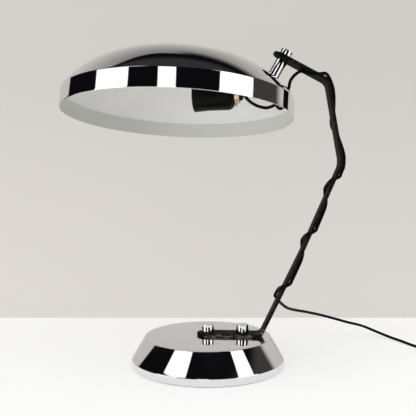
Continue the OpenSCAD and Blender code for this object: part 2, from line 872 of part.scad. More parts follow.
switch_at = [303, -42, 0];
spout_r = 3.6;
spout_len = 8;
spout_z = 8;
split_z = 9;
rocker_w = 11;
rocker_len = 22;
rocker_gap = 0.3;
rocker_pin_r = 1.5;
rocker_tilt = 7;
rocker_z = switch_h - 3;
switch_back = switch_at + [0, switch_len / 2 + spout_len, spout_z];
switch_front = switch_at + [0, -switch_len / 2 - spout_len, spout_z];

module switch_outline(h) {
    for (s = [-1, 1])
        translate([0, s * (switch_len - switch_w) / 2, 0]) cylinder(r = switch_w / 2, h = h);
    translate([-switch_w / 2, -(switch_len - switch_w) / 2, 0])
        cube([switch_w, switch_len - switch_w, h]);
}

module switch_spouts(r) {
    translate([0, 0, spout_z]) rotate([90, 0, 0])
        cylinder(r = r, h = switch_len + 2 * spout_len, center = true);
}

module rocker_well(gap) {
    translate([-rocker_w / 2 - gap, -rocker_len / 2 - gap, 4])
        cube([rocker_w + 2 * gap, rocker_len + 2 * gap, switch_h]);
}

module switch_lower() {
    color("#181818")
        translate(switch_at)
            difference() {
                union() {
                    switch_outline(split_z);
                    intersection() {
                        switch_spouts(spout_r);
                        translate([-switch_w, -switch_len, 0])
                            cube([2 * switch_w, 2 * switch_len, 2 * split_z]);
                    }
                }
                rocker_well(1);
            }
}

module switch_upper() {
    color("#202020")
        translate(switch_at)
            difference() {
                translate([0, 0, split_z]) switch_outline(switch_h - split_z);
                switch_spouts(spout_r + run_fit);
                rocker_well(rocker_gap);
                translate([0, 0, rocker_z]) rotate([0, 90, 0])
                    cylinder(r = rocker_pin_r + run_fit, h = rocker_w + 6, center = true);
            }
}

// The rocker rests pressed down at its front end, and throws as far the other way
module switch_rocker() {
    swing_r = rocker_len / 2 - 0.6;
    color("#303030")
        translate(switch_at + [0, 0, rocker_z])
            rotate([rocker_tilt, 0, 0]) {
                translate([-rocker_w / 2, 0, 0])
                    rotate([90, 0, 90])
                        linear_extrude(rocker_w)
                            polygon([
                                [-swing_r, -2], [-3, -6], [3, -6], [swing_r, -2],
                                [swing_r, 3.2], [0, 4.2], [-swing_r, 3.2]
                            ]);
                rotate([0, 90, 0]) cylinder(r = rocker_pin_r, h = rocker_w + 5, center = true);
            }
}

tail_start = coil_path[len(coil_path) - 1];
tail_route = concat(
    [tail_start, tail_start - [0, 4, 0]],
    [[299, 46, 12.2], [299.8, 33, 6.2], [300.8, 21, 3], [302, 10, 4.2]],
    [switch_back + [0, 3.5, 0], switch_back]);

module cord_tail() {
    color("#181818") tube(tail_route, 3, cord_r, lead_sides);
}

// Flat two-pin plug, lying on its broad side

plug_at = [354, -106, 6.9];
plug_w = 26;
plug_t = 13.6;
plug_relief = 18;
pin_len = 19;
pin_seat = 9;

end_route = concat(
    [switch_front, switch_front - [0, 3, 0]],
    [[303.8, -91, 4.6], [308.5, -100, lay], [318, -105, lay], [328, -106, 4.4]],
    [plug_at - [plug_relief + 3, 0, 0], plug_at - [plug_relief, 0, 0]]);

module cord_end() {
    color("#181818") tube(end_route, 3, cord_r, lead_sides);
}

echo(cord_length_from_arm_to_plug = length_of(spline(run_route, 4)) + length_of(coil_path)
    + length_of(spline(tail_route, 3)) + switch_len + length_of(spline(end_route, 3)));

module slab(x, w, t) {
    r = 2.5;
    translate([x, 0, 0])
        for (y = [-w / 2 + r, w / 2 - r], z = [-t / 2 + r, t / 2 - r])
            translate([0, y, z]) rotate([0, 90, 0]) cylinder(r = r, h = 1, $fn = 24);
}

module plug_body() {
    color("#181818")
        translate(plug_at)
            difference() {
                union() {
                    hull() {
                        slab(0, plug_w - 8, plug_t - 3);
                        slab(plug_len / 2, plug_w, plug_t);
                        slab(plug_len - 1, plug_w, plug_t);
                    }
                    translate([-plug_relief, 0, 0]) rotate([0, 90, 0])
                        cylinder(r1 = cord_r + 0.7, r2 = cord_r + 2.2, h = plug_relief + 1);
                }
                for (y = [-pin_span / 2, pin_span / 2])
                    translate([plug_len - pin_seat, y, 0]) rotate([0, 90, 0])
                        cylinder(r = pin_r + run_fit, h = pin_seat + 1);
            }
}

module plug_pins() {
    pin_shank = pin_len + pin_seat - slide_gap - pin_r / 2;
    color("silver")
        translate(plug_at)
            for (y = [-pin_span / 2, pin_span / 2])
                translate([plug_len - pin_seat + slide_gap, y, 0]) rotate([0, 90, 0]) {
                    cylinder(r = pin_r, h = pin_shank);
                    translate([0, 0, pin_shank])
                        cylinder(r1 = pin_r, r2 = pin_r / 2, h = pin_r / 2);
                }
}

base_shell();
base_weight();
base_pad();
base_studs();
base_washers();
base_nuts();
knob_left();
knob_right();
arm_strip();
shade_knob();
shade_stud();
friction_washer();
shade_post();
shade_shell();
inner_spacer();
holder_bracket();
bracket_washer();
bracket_nut();
nipple_ring();
holder_nipple();
holder_cap();
holder_skirt();
holder_insert();
screw_shell();
centre_contact();
terminal_screws();
cord_gland();
lock_screw();
lead_grommet();
lead_inner();
lead_loop();
lead_wrap();
cord_run();
cord_coil();
cord_tie();
cord_tail();
cord_end();
switch_lower();
switch_upper();
switch_rocker();
plug_body();
plug_pins();
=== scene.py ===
"""Looks of the dome desk lamp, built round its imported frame, in metres."""
import json
import math

import bmesh
import bpy
import numpy as np
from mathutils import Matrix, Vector


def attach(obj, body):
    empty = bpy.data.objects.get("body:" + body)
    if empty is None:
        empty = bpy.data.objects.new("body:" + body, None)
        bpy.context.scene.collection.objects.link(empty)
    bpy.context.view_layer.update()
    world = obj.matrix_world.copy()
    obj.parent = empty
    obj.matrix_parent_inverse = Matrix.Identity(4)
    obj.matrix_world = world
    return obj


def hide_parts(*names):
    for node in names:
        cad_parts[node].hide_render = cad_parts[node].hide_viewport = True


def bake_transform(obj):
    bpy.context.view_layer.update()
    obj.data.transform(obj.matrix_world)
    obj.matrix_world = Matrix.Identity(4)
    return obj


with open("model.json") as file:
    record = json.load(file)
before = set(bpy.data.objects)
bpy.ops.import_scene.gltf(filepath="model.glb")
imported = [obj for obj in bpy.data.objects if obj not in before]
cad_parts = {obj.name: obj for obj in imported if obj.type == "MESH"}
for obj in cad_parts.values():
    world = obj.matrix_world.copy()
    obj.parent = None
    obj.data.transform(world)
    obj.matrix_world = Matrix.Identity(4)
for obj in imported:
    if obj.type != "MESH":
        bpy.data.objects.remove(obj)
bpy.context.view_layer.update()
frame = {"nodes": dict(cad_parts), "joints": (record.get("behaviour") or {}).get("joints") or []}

# Camera. It stands 0.7 m in front of the lamp at the height of the arm's middle, level but for
# half a degree, and the lamp is turned a little clockwise to it.

CAMERA_AZIMUTH = math.radians(4.5)
CAMERA_REACH = 0.702
CAMERA_HEIGHT = 0.2058
CAMERA_PITCH = math.radians(-0.593)
CAMERA_LENS = 47.40
RIGHT = np.array([math.cos(CAMERA_AZIMUTH), math.sin(CAMERA_AZIMUTH), 0])
AWAY = np.array([-math.sin(CAMERA_AZIMUTH), math.cos(CAMERA_AZIMUTH), 0])

camera_data = bpy.data.cameras.new("camera")
camera_data.lens = CAMERA_LENS
camera_data.sensor_width = 36
camera = bpy.data.objects.new("camera", camera_data)
camera.location = (*(-CAMERA_REACH * AWAY[:2]), CAMERA_HEIGHT)
camera.rotation_euler = (math.radians(90) + CAMERA_PITCH, 0, CAMERA_AZIMUTH)
bpy.context.collection.objects.link(camera)
bpy.context.scene.camera = camera
bpy.context.scene.view_settings.view_transform = "Standard"

# Studio: a white table top that ends at a warm grey wall close behind the lamp. Both are seen
# only from their front, so the lamp can be looked at from every side.

TABLE_DEPTH = 0.273
STAGE_HALF = 1.6
WALL_HEIGHT = 1.8
TABLE_WHITE = (0.97, 0.97, 0.965, 1)
WALL_GREY = (0.67, 0.635, 0.585, 1)
# The painted glow tones that the camera and mirrors see, from left to right and from low to high,
# the places between which each changes, and how far it takes the place of the lit surface. The
# table brightens to the right and the wall darkens upwards: painted light.
TABLE_TONES = [(0.99, 0.99, 0.985, 1), (1.1, 1.1, 1.1, 1)]
TABLE_SPAN = (-0.3, 0.35)
TABLE_SHARE = 0.55
WALL_TONES = [(0.745, 0.72, 0.67, 1), (0.655, 0.63, 0.59, 1)]
WALL_SPAN = (0.02, 0.5)
WALL_SHARE = 0.85


class Nodes:
    """Makes and joins the shader nodes of one material or world."""

    def __init__(self, tree):
        self.tree = tree
        tree.nodes.clear()

    def add(self, kind, settings=None, **inputs):
        """A node with its settings and inputs. An input goes by its name, or by its place as i0, i1
        and so on. It is joined to another node's output or set to a plain value."""
        node = self.tree.nodes.new(kind)
        for key, value in (settings or {}).items():
            setattr(node, key, value)
        for key, value in inputs.items():
            name = key.replace("_", " ")
            socket = node.inputs[int(name[1:]) if name[1:].isdigit() else name]
            if isinstance(value, bpy.types.NodeSocket):
                self.tree.links.new(value, socket)
            else:
                socket.default_value = value
        return node

    def math(self, operation, a, b=0.0):
        return self.add("ShaderNodeMath", {"operation": operation}, i0=a, i1=b).outputs[0]

    def times(self, a, b):
        return self.math("MULTIPLY", a, b)

    def less(self, a, b):
        return self.math("SUBTRACT", a, b)

    def dot(self, vector, axis):
        """How much of a place or a direction lies along an axis."""
        settings = {"operation": "DOT_PRODUCT"}
        return self.add("ShaderNodeVectorMath", settings, i0=vector, i1=tuple(axis)).outputs["Value"]

    def place(self):
        """The object's own coordinates."""
        return self.add("ShaderNodeTexCoord").outputs["Object"]

    def step(self, value, low, high):
        """Rises smoothly from 0 at low to 1 at high."""
        settings = {"interpolation_type": "SMOOTHSTEP"}
        return self.add("ShaderNodeMapRange", settings, i0=value, i1=low, i2=high).outputs[0]

    def mix(self, factor, a, b):
        """Colour a where the factor is 0, and colour b where it is 1."""
        return self.add("ShaderNodeMix", {"data_type": "RGBA"}, i0=factor, i6=a, i7=b).outputs[2]


def new_material(name):
    material = bpy.data.materials.new(name)
    material.use_nodes = True
    return material, Nodes(material.node_tree)


def stage_material(name, color, tones, axis, span, share):
    """A matt surface that lets every ray through from behind. Camera and mirror rays see part of it
    as a painted glow instead, a pale tone that changes along an axis over a span of object
    coordinates as painted light."""
    material, nodes = new_material(name)
    # The glow's tone grades along the axis: painted light
    tone = nodes.mix(nodes.step(nodes.dot(nodes.place(), axis), *span), *tones)
    path = nodes.add("ShaderNodeLightPath").outputs
    shown = nodes.times(nodes.math("MAXIMUM", path["Is Camera Ray"], path["Is Glossy Ray"]), share)
    matt = nodes.add("ShaderNodeBsdfDiffuse", Color=color).outputs[0]
    pale = nodes.add("ShaderNodeEmission", Color=tone).outputs[0]
    toned = nodes.add("ShaderNodeMixShader", i0=shown, i1=matt, i2=pale).outputs[0]
    clear = nodes.add("ShaderNodeBsdfTransparent").outputs[0]
    back = nodes.add("ShaderNodeNewGeometry").outputs["Backfacing"]
    front = nodes.add("ShaderNodeMixShader", i0=back, i1=toned, i2=clear).outputs[0]
    nodes.add("ShaderNodeOutputMaterial", Surface=front)
    return material


def stage_sheet(name, near, far, material):
    """A flat sheet as wide as the stage, between the middles of its near and far edge."""
    corners = [near - HALF_WIDE, near + HALF_WIDE, far + HALF_WIDE, far - HALF_WIDE]
    mesh = bpy.data.meshes.new(name)
    mesh.from_pydata([tuple(c) for c in corners], [], [(0, 1, 2, 3)])
    mesh.materials.append(material)
    sheet = bpy.data.objects.new(name, mesh)
    bpy.context.collection.objects.link(sheet)
    return sheet


UP = np.array([0, 0, 1])
HALF_WIDE = STAGE_HALF * RIGHT
seam = TABLE_DEPTH * AWAY
table_white = stage_material("table_white", TABLE_WHITE, TABLE_TONES, RIGHT, TABLE_SPAN, TABLE_SHARE)
stage_sheet("table_top", -STAGE_HALF * AWAY, seam, table_white)
wall_grey = stage_material("wall_grey", WALL_GREY, WALL_TONES, UP, WALL_SPAN, WALL_SHARE)
wall = stage_sheet("wall", seam, seam + WALL_HEIGHT * UP, wall_grey)
wall.visible_glossy = False

# Light. An even pale world lights the lamp. What the polished metal mirrors is a dim room with
# three tall white panels on the camera's side, two of them in a lower and an upper part, and the
# pale backdrop behind. All are drawn by direction.

ROOM_DARK = (0.004, 0.004, 0.005, 1)
PANEL_WHITE = (1.5, 1.5, 1.5, 1)
BACKDROP = (0.62, 0.59, 0.55, 1)
BACKDROP_TOP = (0.15, 0.15, 0.145, 1)
SIDE_GREY = (0.052, 0.050, 0.047, 1)
CEILING_GREY = (0.034, 0.034, 0.035, 1)
LIGHT_TOP = (1.45, 1.45, 1.45, 1)
LIGHT_LOW = (0.31, 0.31, 0.31, 1)
WORLD_LEVEL = 0.86
# Each panel: left and right edge in degrees from the camera, how far the edges lean with height,
# its lowest and highest elevation, and how fast its lower edge rises from left to right
PANELS = [
    (-79.3, -44.3, 0, -20, 27, 0),
    (-79, -42.5, 0.1, 34.3, 62, 0.21),
    (-15.5, 1, 0, -20, 25.5, 0),
    (38.5, 74, 0.2, -20, 30, 0),
    (47.5, 73, 0.1, 27, 62, 0),
]
EDGE = 0.6
# Degrees over which the room's grey side begins and ends upwards, the ceiling begins, the backdrop
# darkens upwards and the plain light grows upwards
SIDE_FROM = (72.0, 80.0)
SIDE_TOP = (30.0, 40.0)
CEILING_FROM = (56.0, 63.0)
BACKDROP_SPAN = (22.0, 78.0)
LIGHT_SPAN = (-10.0, 75.0)
# Parts of a direction, along the camera's view or across it, over which the same is done
CEILING_BACK = (0.20, 0.33)
ON_RIGHT = (-0.05, 0.1)
ON_LEFT = (0.1, 0.5)
SHARP_EDGE = (0.40, 0.44)
SOFT_EDGE = (0.42, 0.60)
# How much a place on the right counts as further behind, and one on the left that is raised
SLANT = 0.145
RAISED_FROM = 0.2
RAISED_TO = 0.5
RAISED_SHARE = 0.6

world = bpy.data.worlds.new("studio")
bpy.context.scene.world = world
world.use_nodes = True
nodes = Nodes(world.node_tree)
direction = nodes.add("ShaderNodeTexCoord").outputs["Generated"]
to_right, to_back, to_top = (nodes.dot(direction, axis) for axis in (RIGHT, AWAY, UP))
azimuth = nodes.math("DEGREES", nodes.math("ARCTAN2", to_right, nodes.times(to_back, -1.0)))
elevation = nodes.math("DEGREES", nodes.math("ARCSINE", to_top))


def past(value, edge):
    """0 below an edge and 1 above it, softened a little to both sides."""
    return nodes.step(value, edge - EDGE, edge + EDGE)


def panel(left, right, lean, low, high, rise):
    """1 inside the panel's edges and 0 outside them."""
    upright = nodes.less(azimuth, nodes.times(elevation, lean))
    climbed = nodes.less(elevation, nodes.times(nodes.less(azimuth, left), rise))
    across = nodes.times(past(upright, left), nodes.less(1.0, past(upright, right)))
    upward = nodes.times(past(climbed, low), nodes.less(1.0, past(elevation, high)))
    return nodes.times(across, upward)


beside = nodes.times(nodes.step(azimuth, *SIDE_FROM), nodes.less(1.0, nodes.step(elevation, *SIDE_TOP)))
forward = nodes.less(1.0, nodes.step(to_back, *CEILING_BACK))
overhead = nodes.times(nodes.step(elevation, *CEILING_FROM), forward)
room = nodes.mix(overhead, nodes.mix(beside, ROOM_DARK, SIDE_GREY), CEILING_GREY)
for edges in PANELS:
    room = nodes.mix(panel(*edges), room, PANEL_WHITE)
backdrop = nodes.mix(nodes.step(elevation, *BACKDROP_SPAN), BACKDROP, BACKDROP_TOP)
# The backdrop begins softly on the right, and on the left the sooner the higher it is
behind = nodes.math("ADD", to_back, nodes.times(to_right, SLANT))
leftness = nodes.step(nodes.times(to_right, -1.0), *ON_LEFT)
raised = nodes.less(nodes.math("MINIMUM", to_top, RAISED_TO), RAISED_FROM)
left_behind = nodes.math("ADD", behind, nodes.times(nodes.times(leftness, raised), RAISED_SHARE))
on_right = nodes.step(to_right, *ON_RIGHT)
sharp_edge = nodes.times(nodes.less(1.0, on_right), nodes.step(left_behind, *SHARP_EDGE))
soft_edge = nodes.times(on_right, nodes.step(behind, *SOFT_EDGE))
mirrored = nodes.mix(nodes.math("ADD", sharp_edge, soft_edge), room, backdrop)
path = nodes.add("ShaderNodeLightPath").outputs
sharp = nodes.math("MAXIMUM", path["Is Glossy Ray"], path["Is Transmission Ray"])
plain = nodes.mix(nodes.step(elevation, *LIGHT_SPAN), LIGHT_LOW, LIGHT_TOP)
seen = nodes.mix(path["Is Camera Ray"], nodes.mix(sharp, plain, mirrored), WALL_GREY)
level = nodes.less(1.0, nodes.times(path["Is Diffuse Ray"], 1 - WORLD_LEVEL))
background = nodes.add("ShaderNodeBackground", Color=seen, Strength=level)
nodes.add("ShaderNodeOutputWorld", Surface=background.outputs[0])


def area_light(name, place, aim, size, power):
    """A square light turned towards an aim. The polished metal doesn't mirror it."""
    data = bpy.data.lights.new(name, "AREA")
    data.size = size
    data.energy = power
    light = bpy.data.objects.new(name, data)
    light.location = place
    light.rotation_euler = (Vector(aim) - Vector(place)).to_track_quat("-Z", "Y").to_euler()
    light.visible_glossy = False
    bpy.context.collection.objects.link(light)


area_light("key", place=(-0.55, -0.75, 1.15), aim=(0, 0, 0), size=0.9, power=3.0)
area_light("fill", place=(-0.85, -0.5, 0.1), aim=(0, 0, 0.36), size=0.4, power=3.0)

# Base cover: spun steel sheet, chrome plated and polished, with an upright lip, a sloping side and
# a flat disc on top. It is dropped over the iron weight and clamped by the two studs.

BASE_R = 0.0975
BASE_TOP_R = 0.080
BASE_H = 0.0357
LIP_H = 0.0096
COVER_WALL = 0.0012
COVER_LIFT = 0.0008
CHROME = (0.80, 0.80, 0.81)
SMUDGED = (0.765, 0.765, 0.77)
EVEN = (1, 1, 1)


def rounded(outline, radii, steps=6):
    """An outline whose corners are arcs: each starts and ends where a circle of the corner's radius
    touches the two sides, and its points turn evenly from one side's direction to the other's."""
    outline = np.array(outline, float)
    rows = [outline[:1]]
    for before, corner, after, radius in zip(outline[:-2], outline[1:-1], outline[2:], radii):
        a = (before - corner) / np.linalg.norm(before - corner)
        b = (after - corner) / np.linalg.norm(after - corner)
        half = math.acos(np.clip(a @ b, -1, 1)) / 2
        if radius <= 0 or half > math.radians(89.9):
            rows.append(corner[None])
            continue
        middle = corner + (a + b) / np.linalg.norm(a + b) * radius / math.sin(half)
        first = corner + a * radius / math.tan(half) - middle
        last = corner + b * radius / math.tan(half) - middle
        sweep = math.pi - 2 * half
        t = np.linspace(0, 1, steps)[:, None]
        rows.append(middle + (np.sin((1 - t) * sweep) * first + np.sin(t * sweep) * last) / math.sin(sweep))
    return np.concatenate([*rows, outline[-1:]])


def turned(outline, sides):
    """Rows of a turned solid: each (r, z) of the outline is carried round the z axis."""
    angle = np.arange(sides) * 2 * math.pi / sides
    r, z = np.array(outline, float).T
    x = r[:, None] * np.cos(angle)
    y = r[:, None] * np.sin(angle)
    return np.stack([x, y, np.repeat(z[:, None], sides, 1)], -1)


def placed(points, origin, axis, up=(1, 0, 0)):
    """Points moved so that z runs along axis from origin, and x lies nearest to up."""
    z = np.array(axis, float) / np.linalg.norm(axis)
    x = np.array(up, float) - (np.array(up, float) @ z) * z
    x /= np.linalg.norm(x)
    return np.array(origin, float) + points @ np.array([x, np.cross(z, x), z])


def surface(name, grid, material, body, slot, *replaced, looped=False, crease=35):
    """A piece on a grid of points: each cell of four neighbours is a face, the columns join round,
    and so do the rows if looped. Points that fall together are merged, which closes the poles."""
    rows, columns = grid.shape[:2]
    index = np.arange(rows * columns).reshape(rows, columns)
    here = index if looped else index[:-1]
    above = np.roll(index, -1, 0) if looped else index[1:]
    faces = np.stack([here, np.roll(here, -1, 1), np.roll(above, -1, 1), above], -1).reshape(-1, 4)
    mesh = bpy.data.meshes.new(name)
    mesh.from_pydata(grid.reshape(-1, 3).tolist(), [], faces.tolist())
    piece = bpy.data.objects.new(name, mesh)
    bpy.context.collection.objects.link(piece)
    finish_mesh(mesh, crease)
    mesh.materials.append(material)
    if body:
        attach(piece, body)
    if replaced:
        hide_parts(*replaced)
    return piece


def finish_mesh(mesh, crease):
    """Merges doubles, closes open ends, turns faces outwards and keeps edges over crease sharp."""
    work = bmesh.new()
    work.from_mesh(mesh)
    bmesh.ops.remove_doubles(work, verts=work.verts, dist=1e-6)
    ends = [e for e in work.edges if e.is_boundary]
    if ends:
        bmesh.ops.holes_fill(work, edges=ends, sides=0)
    bmesh.ops.recalc_face_normals(work, faces=work.faces)
    work.to_mesh(mesh)
    work.free()
    mesh.shade_smooth()
    mesh.set_sharp_from_angle(angle=math.radians(crease))


def noise(nodes, scale, detail=3.0, stretch=EVEN, rough=0.5):
    """Noise on the object's own coordinates, with scale in cells a metre."""
    mapped = nodes.add("ShaderNodeMapping", Vector=nodes.place(), Scale=stretch).outputs[0]
    made = nodes.add("ShaderNodeTexNoise", Vector=mapped, Scale=scale, Detail=detail, Roughness=rough)
    return made.outputs["Fac"]


def between(nodes, factor, low, high):
    """Carries 0 to 1 over to low to high."""
    return nodes.add("ShaderNodeMapRange", i0=factor, i3=low, i4=high).outputs[0]


def bump(nodes, height, depth):
    """A normal from height, where depth is the real height of the bumps in metres."""
    return nodes.add("ShaderNodeBump", Height=height, Distance=depth, Strength=1.0).outputs[0]


def shaded(nodes, **inputs):
    shader = nodes.add("ShaderNodeBsdfPrincipled", **inputs)
    nodes.add("ShaderNodeOutputMaterial", Surface=shader.outputs[0])


def mottled(name, cloud, low, high, depth, rough=None, edges=None, gloss=None, grain=None, **constants):
    """A finish whose colour and roughness go from the low to the high value with a cloud of noise,
    or with its rise from 0 to 1 between two edges. The roughness can follow a gloss noise instead.
    The bumps follow a grain noise, or else the cloud. Each noise is given as noise takes it."""
    material, nodes = new_material(name)
    share = noise(nodes, *cloud)
    if edges:
        share = nodes.step(share, *edges)
    if rough:
        constants["Roughness"] = between(nodes, noise(nodes, *gloss) if gloss else share, *rough)
    shaded(
        nodes,
        Base_Color=nodes.mix(share, (*low, 1), (*high, 1)),
        Normal=bump(nodes, noise(nodes, *(grain or cloud)), depth),
        **constants,
    )
    return material


def polished_chrome(name, waves):
    """Mirror plate with the faint waves of spun sheet and a breath of smudge in its gloss."""
    cloud = (28, 5.0, EVEN, 0.6)
    smudge = {"edges": (0.52, 0.75), "rough": (0.025, 0.085)}
    return mottled(name, cloud, CHROME, SMUDGED, waves, grain=(60, 1.0), Metallic=1.0, **smudge)


chrome = polished_chrome("chrome_plate", 1.2e-5)
cover_outline = rounded(
    [
        (0, BASE_H),
        (BASE_TOP_R, BASE_H),
        (BASE_R, LIP_H),
        (BASE_R, COVER_LIFT),
        (BASE_R - COVER_WALL, COVER_LIFT),
        (BASE_R - COVER_WALL, LIP_H),
        (BASE_TOP_R - COVER_WALL, BASE_H - COVER_WALL),
        (0, BASE_H - COVER_WALL),
    ],
    [0.0016, 0.002, 0.0004, 0.0004, 0.001, 0.001],
)
surface("base_cover", turned(cover_outline, 256), chrome, "base", "chrome_base", "base_shell")

# Base weight and pad: a grey iron casting with a recess under its middle, on a disc of dense
# black felt glued under it.


def look(node, material):
    """Gives a CAD node its finish."""
    piece = frame["nodes"][node]
    piece.data.materials.clear()
    piece.data.materials.append(material)


IRON_GRAIN = (900, 4.0, EVEN, 0.7)
cast_iron = mottled(
    "cast_iron", (60,), (0.045, 0.044, 0.043), (0.085, 0.078, 0.07), 2.5e-4,
    rough=(0.5, 0.75), gloss=IRON_GRAIN, grain=IRON_GRAIN, Metallic=0.7,
)
black_felt = mottled(
    "black_felt", (2200, 6.0, EVEN, 0.8), (0.006, 0.007, 0.006), (0.03, 0.032, 0.028), 3e-4,
    Roughness=0.95, Sheen_Weight=0.4, Sheen_Roughness=0.5,
)
look("base_weight", cast_iron)
look("base_pad", black_felt)

# Studs, nuts and washers: zinc-plated steel. Each base stud has a washer and a hexagon nut in the
# recess under the weight. The shade's stud and its spacer are plated alike.


def zinc_plate(name):
    return mottled(
        name, (220, 4.0), (0.50, 0.52, 0.54), (0.62, 0.61, 0.57), 1e-5,
        rough=(0.22, 0.42), grain=(3000, 2.0), Metallic=1.0,
    )


zinc = zinc_plate("zinc_plate")
for node in ("base_studs", "base_nuts", "base_washers", "shade_stud", "inner_spacer"):
    look(node, zinc)

# Arm: one flat steel strip, bent at the foot, knee, elbow and top, with round ends, in satin black
# stoving enamel, painted lighter along its edges: partly rubbed scuffs, partly painted highlight.

ARM_W = 0.028
ARM_T = 0.0036
STUD_SPAN = 0.044
FOOT_REACH = 0.067
LEGS = [(0.1229, 64.1), (0.1166, 66.4), (0.104, 99.6), (0.0625, 150.6)]
BEND_R = 0.014
BEND_SHARES = [0.6, 12, 2, 1]
STRIP_EDGE = 0.0006
# Degrees from one point of a bend to the next
TURN_STEP = 1.5


def heading(degrees):
    return np.array([math.cos(math.radians(degrees)), math.sin(math.radians(degrees))])


def bent_line(corners, radii):
    """Points, slopes and lengths along a line through corners, with an arc of each bend's radius."""
    corners = np.array(corners)
    slopes = np.degrees(np.unwrap(np.arctan2(*np.diff(corners, axis=0).T[::-1])))
    points = [corners[:1]]
    turns = [slopes[:1]]
    for corner, before, after, radius in zip(corners[1:-1], slopes[:-1], slopes[1:], radii):
        turn = after - before
        curve = radius * np.sign(turn)
        start = corner - heading(before) * radius * math.tan(math.radians(abs(turn) / 2))
        slope = np.radians(before + turn * np.linspace(0, 1, 1 + math.ceil(abs(turn) / TURN_STEP)))
        first = math.radians(before)
        bow = np.stack([np.sin(slope) - math.sin(first), math.cos(first) - np.cos(slope)], -1)
        points.append(start + curve * bow)
        turns.append(np.degrees(slope))
    points = np.concatenate([*points, corners[-1:]])
    turns = np.concatenate([*turns, slopes[-1:]])
    lengths = np.concatenate([[0], np.cumsum(np.linalg.norm(np.diff(points, axis=0), axis=1))])
    return points, turns, lengths


arm_corners = [np.array([-ARM_W / 2, BASE_H + ARM_T / 2]), np.array([FOOT_REACH, BASE_H + ARM_T / 2])]
for leg_length, leg_slope in LEGS:
    arm_corners.append(arm_corners[-1] + leg_length * heading(leg_slope))
pivot = np.array([arm_corners[-1][0], 0, arm_corners[-1][1]])
arm_corners[-1] = arm_corners[-1] + ARM_W / 2 * heading(LEGS[-1][1])
arm_points, arm_slopes, arm_lengths = bent_line(arm_corners, [BEND_R * s for s in BEND_SHARES])
arm_length = arm_lengths[-1]


def on_arm(places):
    """Points from distance along the arm, place across it and distance out towards the shade."""
    along_arm, across, out = np.moveaxis(np.asarray(places, float), -1, 0)
    slope = np.radians(np.interp(along_arm, arm_lengths, arm_slopes))
    x = np.interp(along_arm, arm_lengths, arm_points[:, 0]) - np.sin(slope) * out
    z = np.interp(along_arm, arm_lengths, arm_points[:, 1]) + np.cos(slope) * out
    return np.stack([x, across, z], -1)


def strip_grid(stations):
    """The arm as a flat bar with round ends and softened edges. Its outline runs up one side, round
    one end, down the other side and round the other end. Each row is that outline moved in by an
    inset at one height, from the middle line of one face over the edge to that of the other."""
    swing = np.radians(np.linspace(0, 180, 25)[1:-1])
    top, foot = (np.full(len(swing), stations[k]) for k in (-1, 0))
    middle = np.concatenate([stations, top, stations[::-1], foot])
    out_along = np.concatenate([0 * stations, np.sin(swing), 0 * stations, -np.sin(swing)])
    out_across = np.concatenate([0 * stations + 1, np.cos(swing), 0 * stations - 1, -np.cos(swing)])
    quarter = np.radians(np.linspace(0, 90, 5))
    inset = np.concatenate([[ARM_W / 2, ARM_W / 4], STRIP_EDGE * (1 - np.sin(quarter))])
    height = np.concatenate([[0, 0], STRIP_EDGE * (1 - np.cos(quarter))]) - ARM_T / 2
    inset = np.concatenate([inset, inset[::-1]])
    height = np.concatenate([height, -height[::-1]])
    reach = ARM_W / 2 - inset[:, None]
    heights = np.repeat(height[:, None], len(middle), 1)
    return on_arm(np.stack([middle + reach * out_along, reach * out_across, heights], -1))


def satin_enamel(name):
    """Black enamel with a soft orange peel, rubbed glossier in patches. Along the strip's two edges it
    is painted lighter in streaks, most of all low down on the foot: partly scuffs, partly painted
    highlight."""
    material, nodes = new_material(name)
    rub = nodes.step(noise(nodes, 90, 5.0, rough=0.65), 0.5, 0.72)
    tint = nodes.mix(rub, (0.0055, 0.0055, 0.0055, 1), (0.010, 0.010, 0.0095, 1))
    split = nodes.add("ShaderNodeSeparateXYZ", Vector=nodes.place()).outputs
    rim = nodes.step(nodes.math("ABSOLUTE", split["Y"]), ARM_W / 2 - 0.0009, ARM_W / 2 - 0.0002)
    streak = nodes.step(noise(nodes, 260, 5.0, (0.5, 1, 2.5), 0.7), 0.45, 0.66)
    low = nodes.less(1.08, nodes.step(split["Z"], BASE_H + 0.004, BASE_H + 0.02))
    # Lighter streaks along the edges, strongest low on the foot: partly scuffs, partly painted highlight
    scuff_and_highlight = nodes.math("MINIMUM", nodes.times(nodes.times(rim, streak), low), 1.0)
    shaded(
        nodes,
        Base_Color=nodes.mix(scuff_and_highlight, tint, (0.27, 0.26, 0.225, 1)),
        Roughness=between(nodes, rub, 0.56, 0.44),
        Specular_IOR_Level=0.03,
        Normal=bump(nodes, noise(nodes, 1400, 2.0), 3e-5),
    )
    return material


enamel = satin_enamel("black_enamel")
strap_end = arm_length - ARM_W / 2
bends = arm_lengths[(arm_lengths > 1e-4) & (arm_lengths < strap_end)]
even_steps = np.arange(ARM_W / 2, strap_end, 0.006)
stations = np.unique(np.concatenate([[ARM_W / 2], bends, even_steps, [strap_end]]))
stations = stations[(stations >= ARM_W / 2) & (stations <= strap_end)]
surface("arm", strip_grid(stations), enamel, "base", "black_strip", "arm_strip")

# Thumb nuts: plain turned cylinders, chrome plated, two on the foot of the arm and one on the
# strap at the top. Each screws down on its stud by hand.

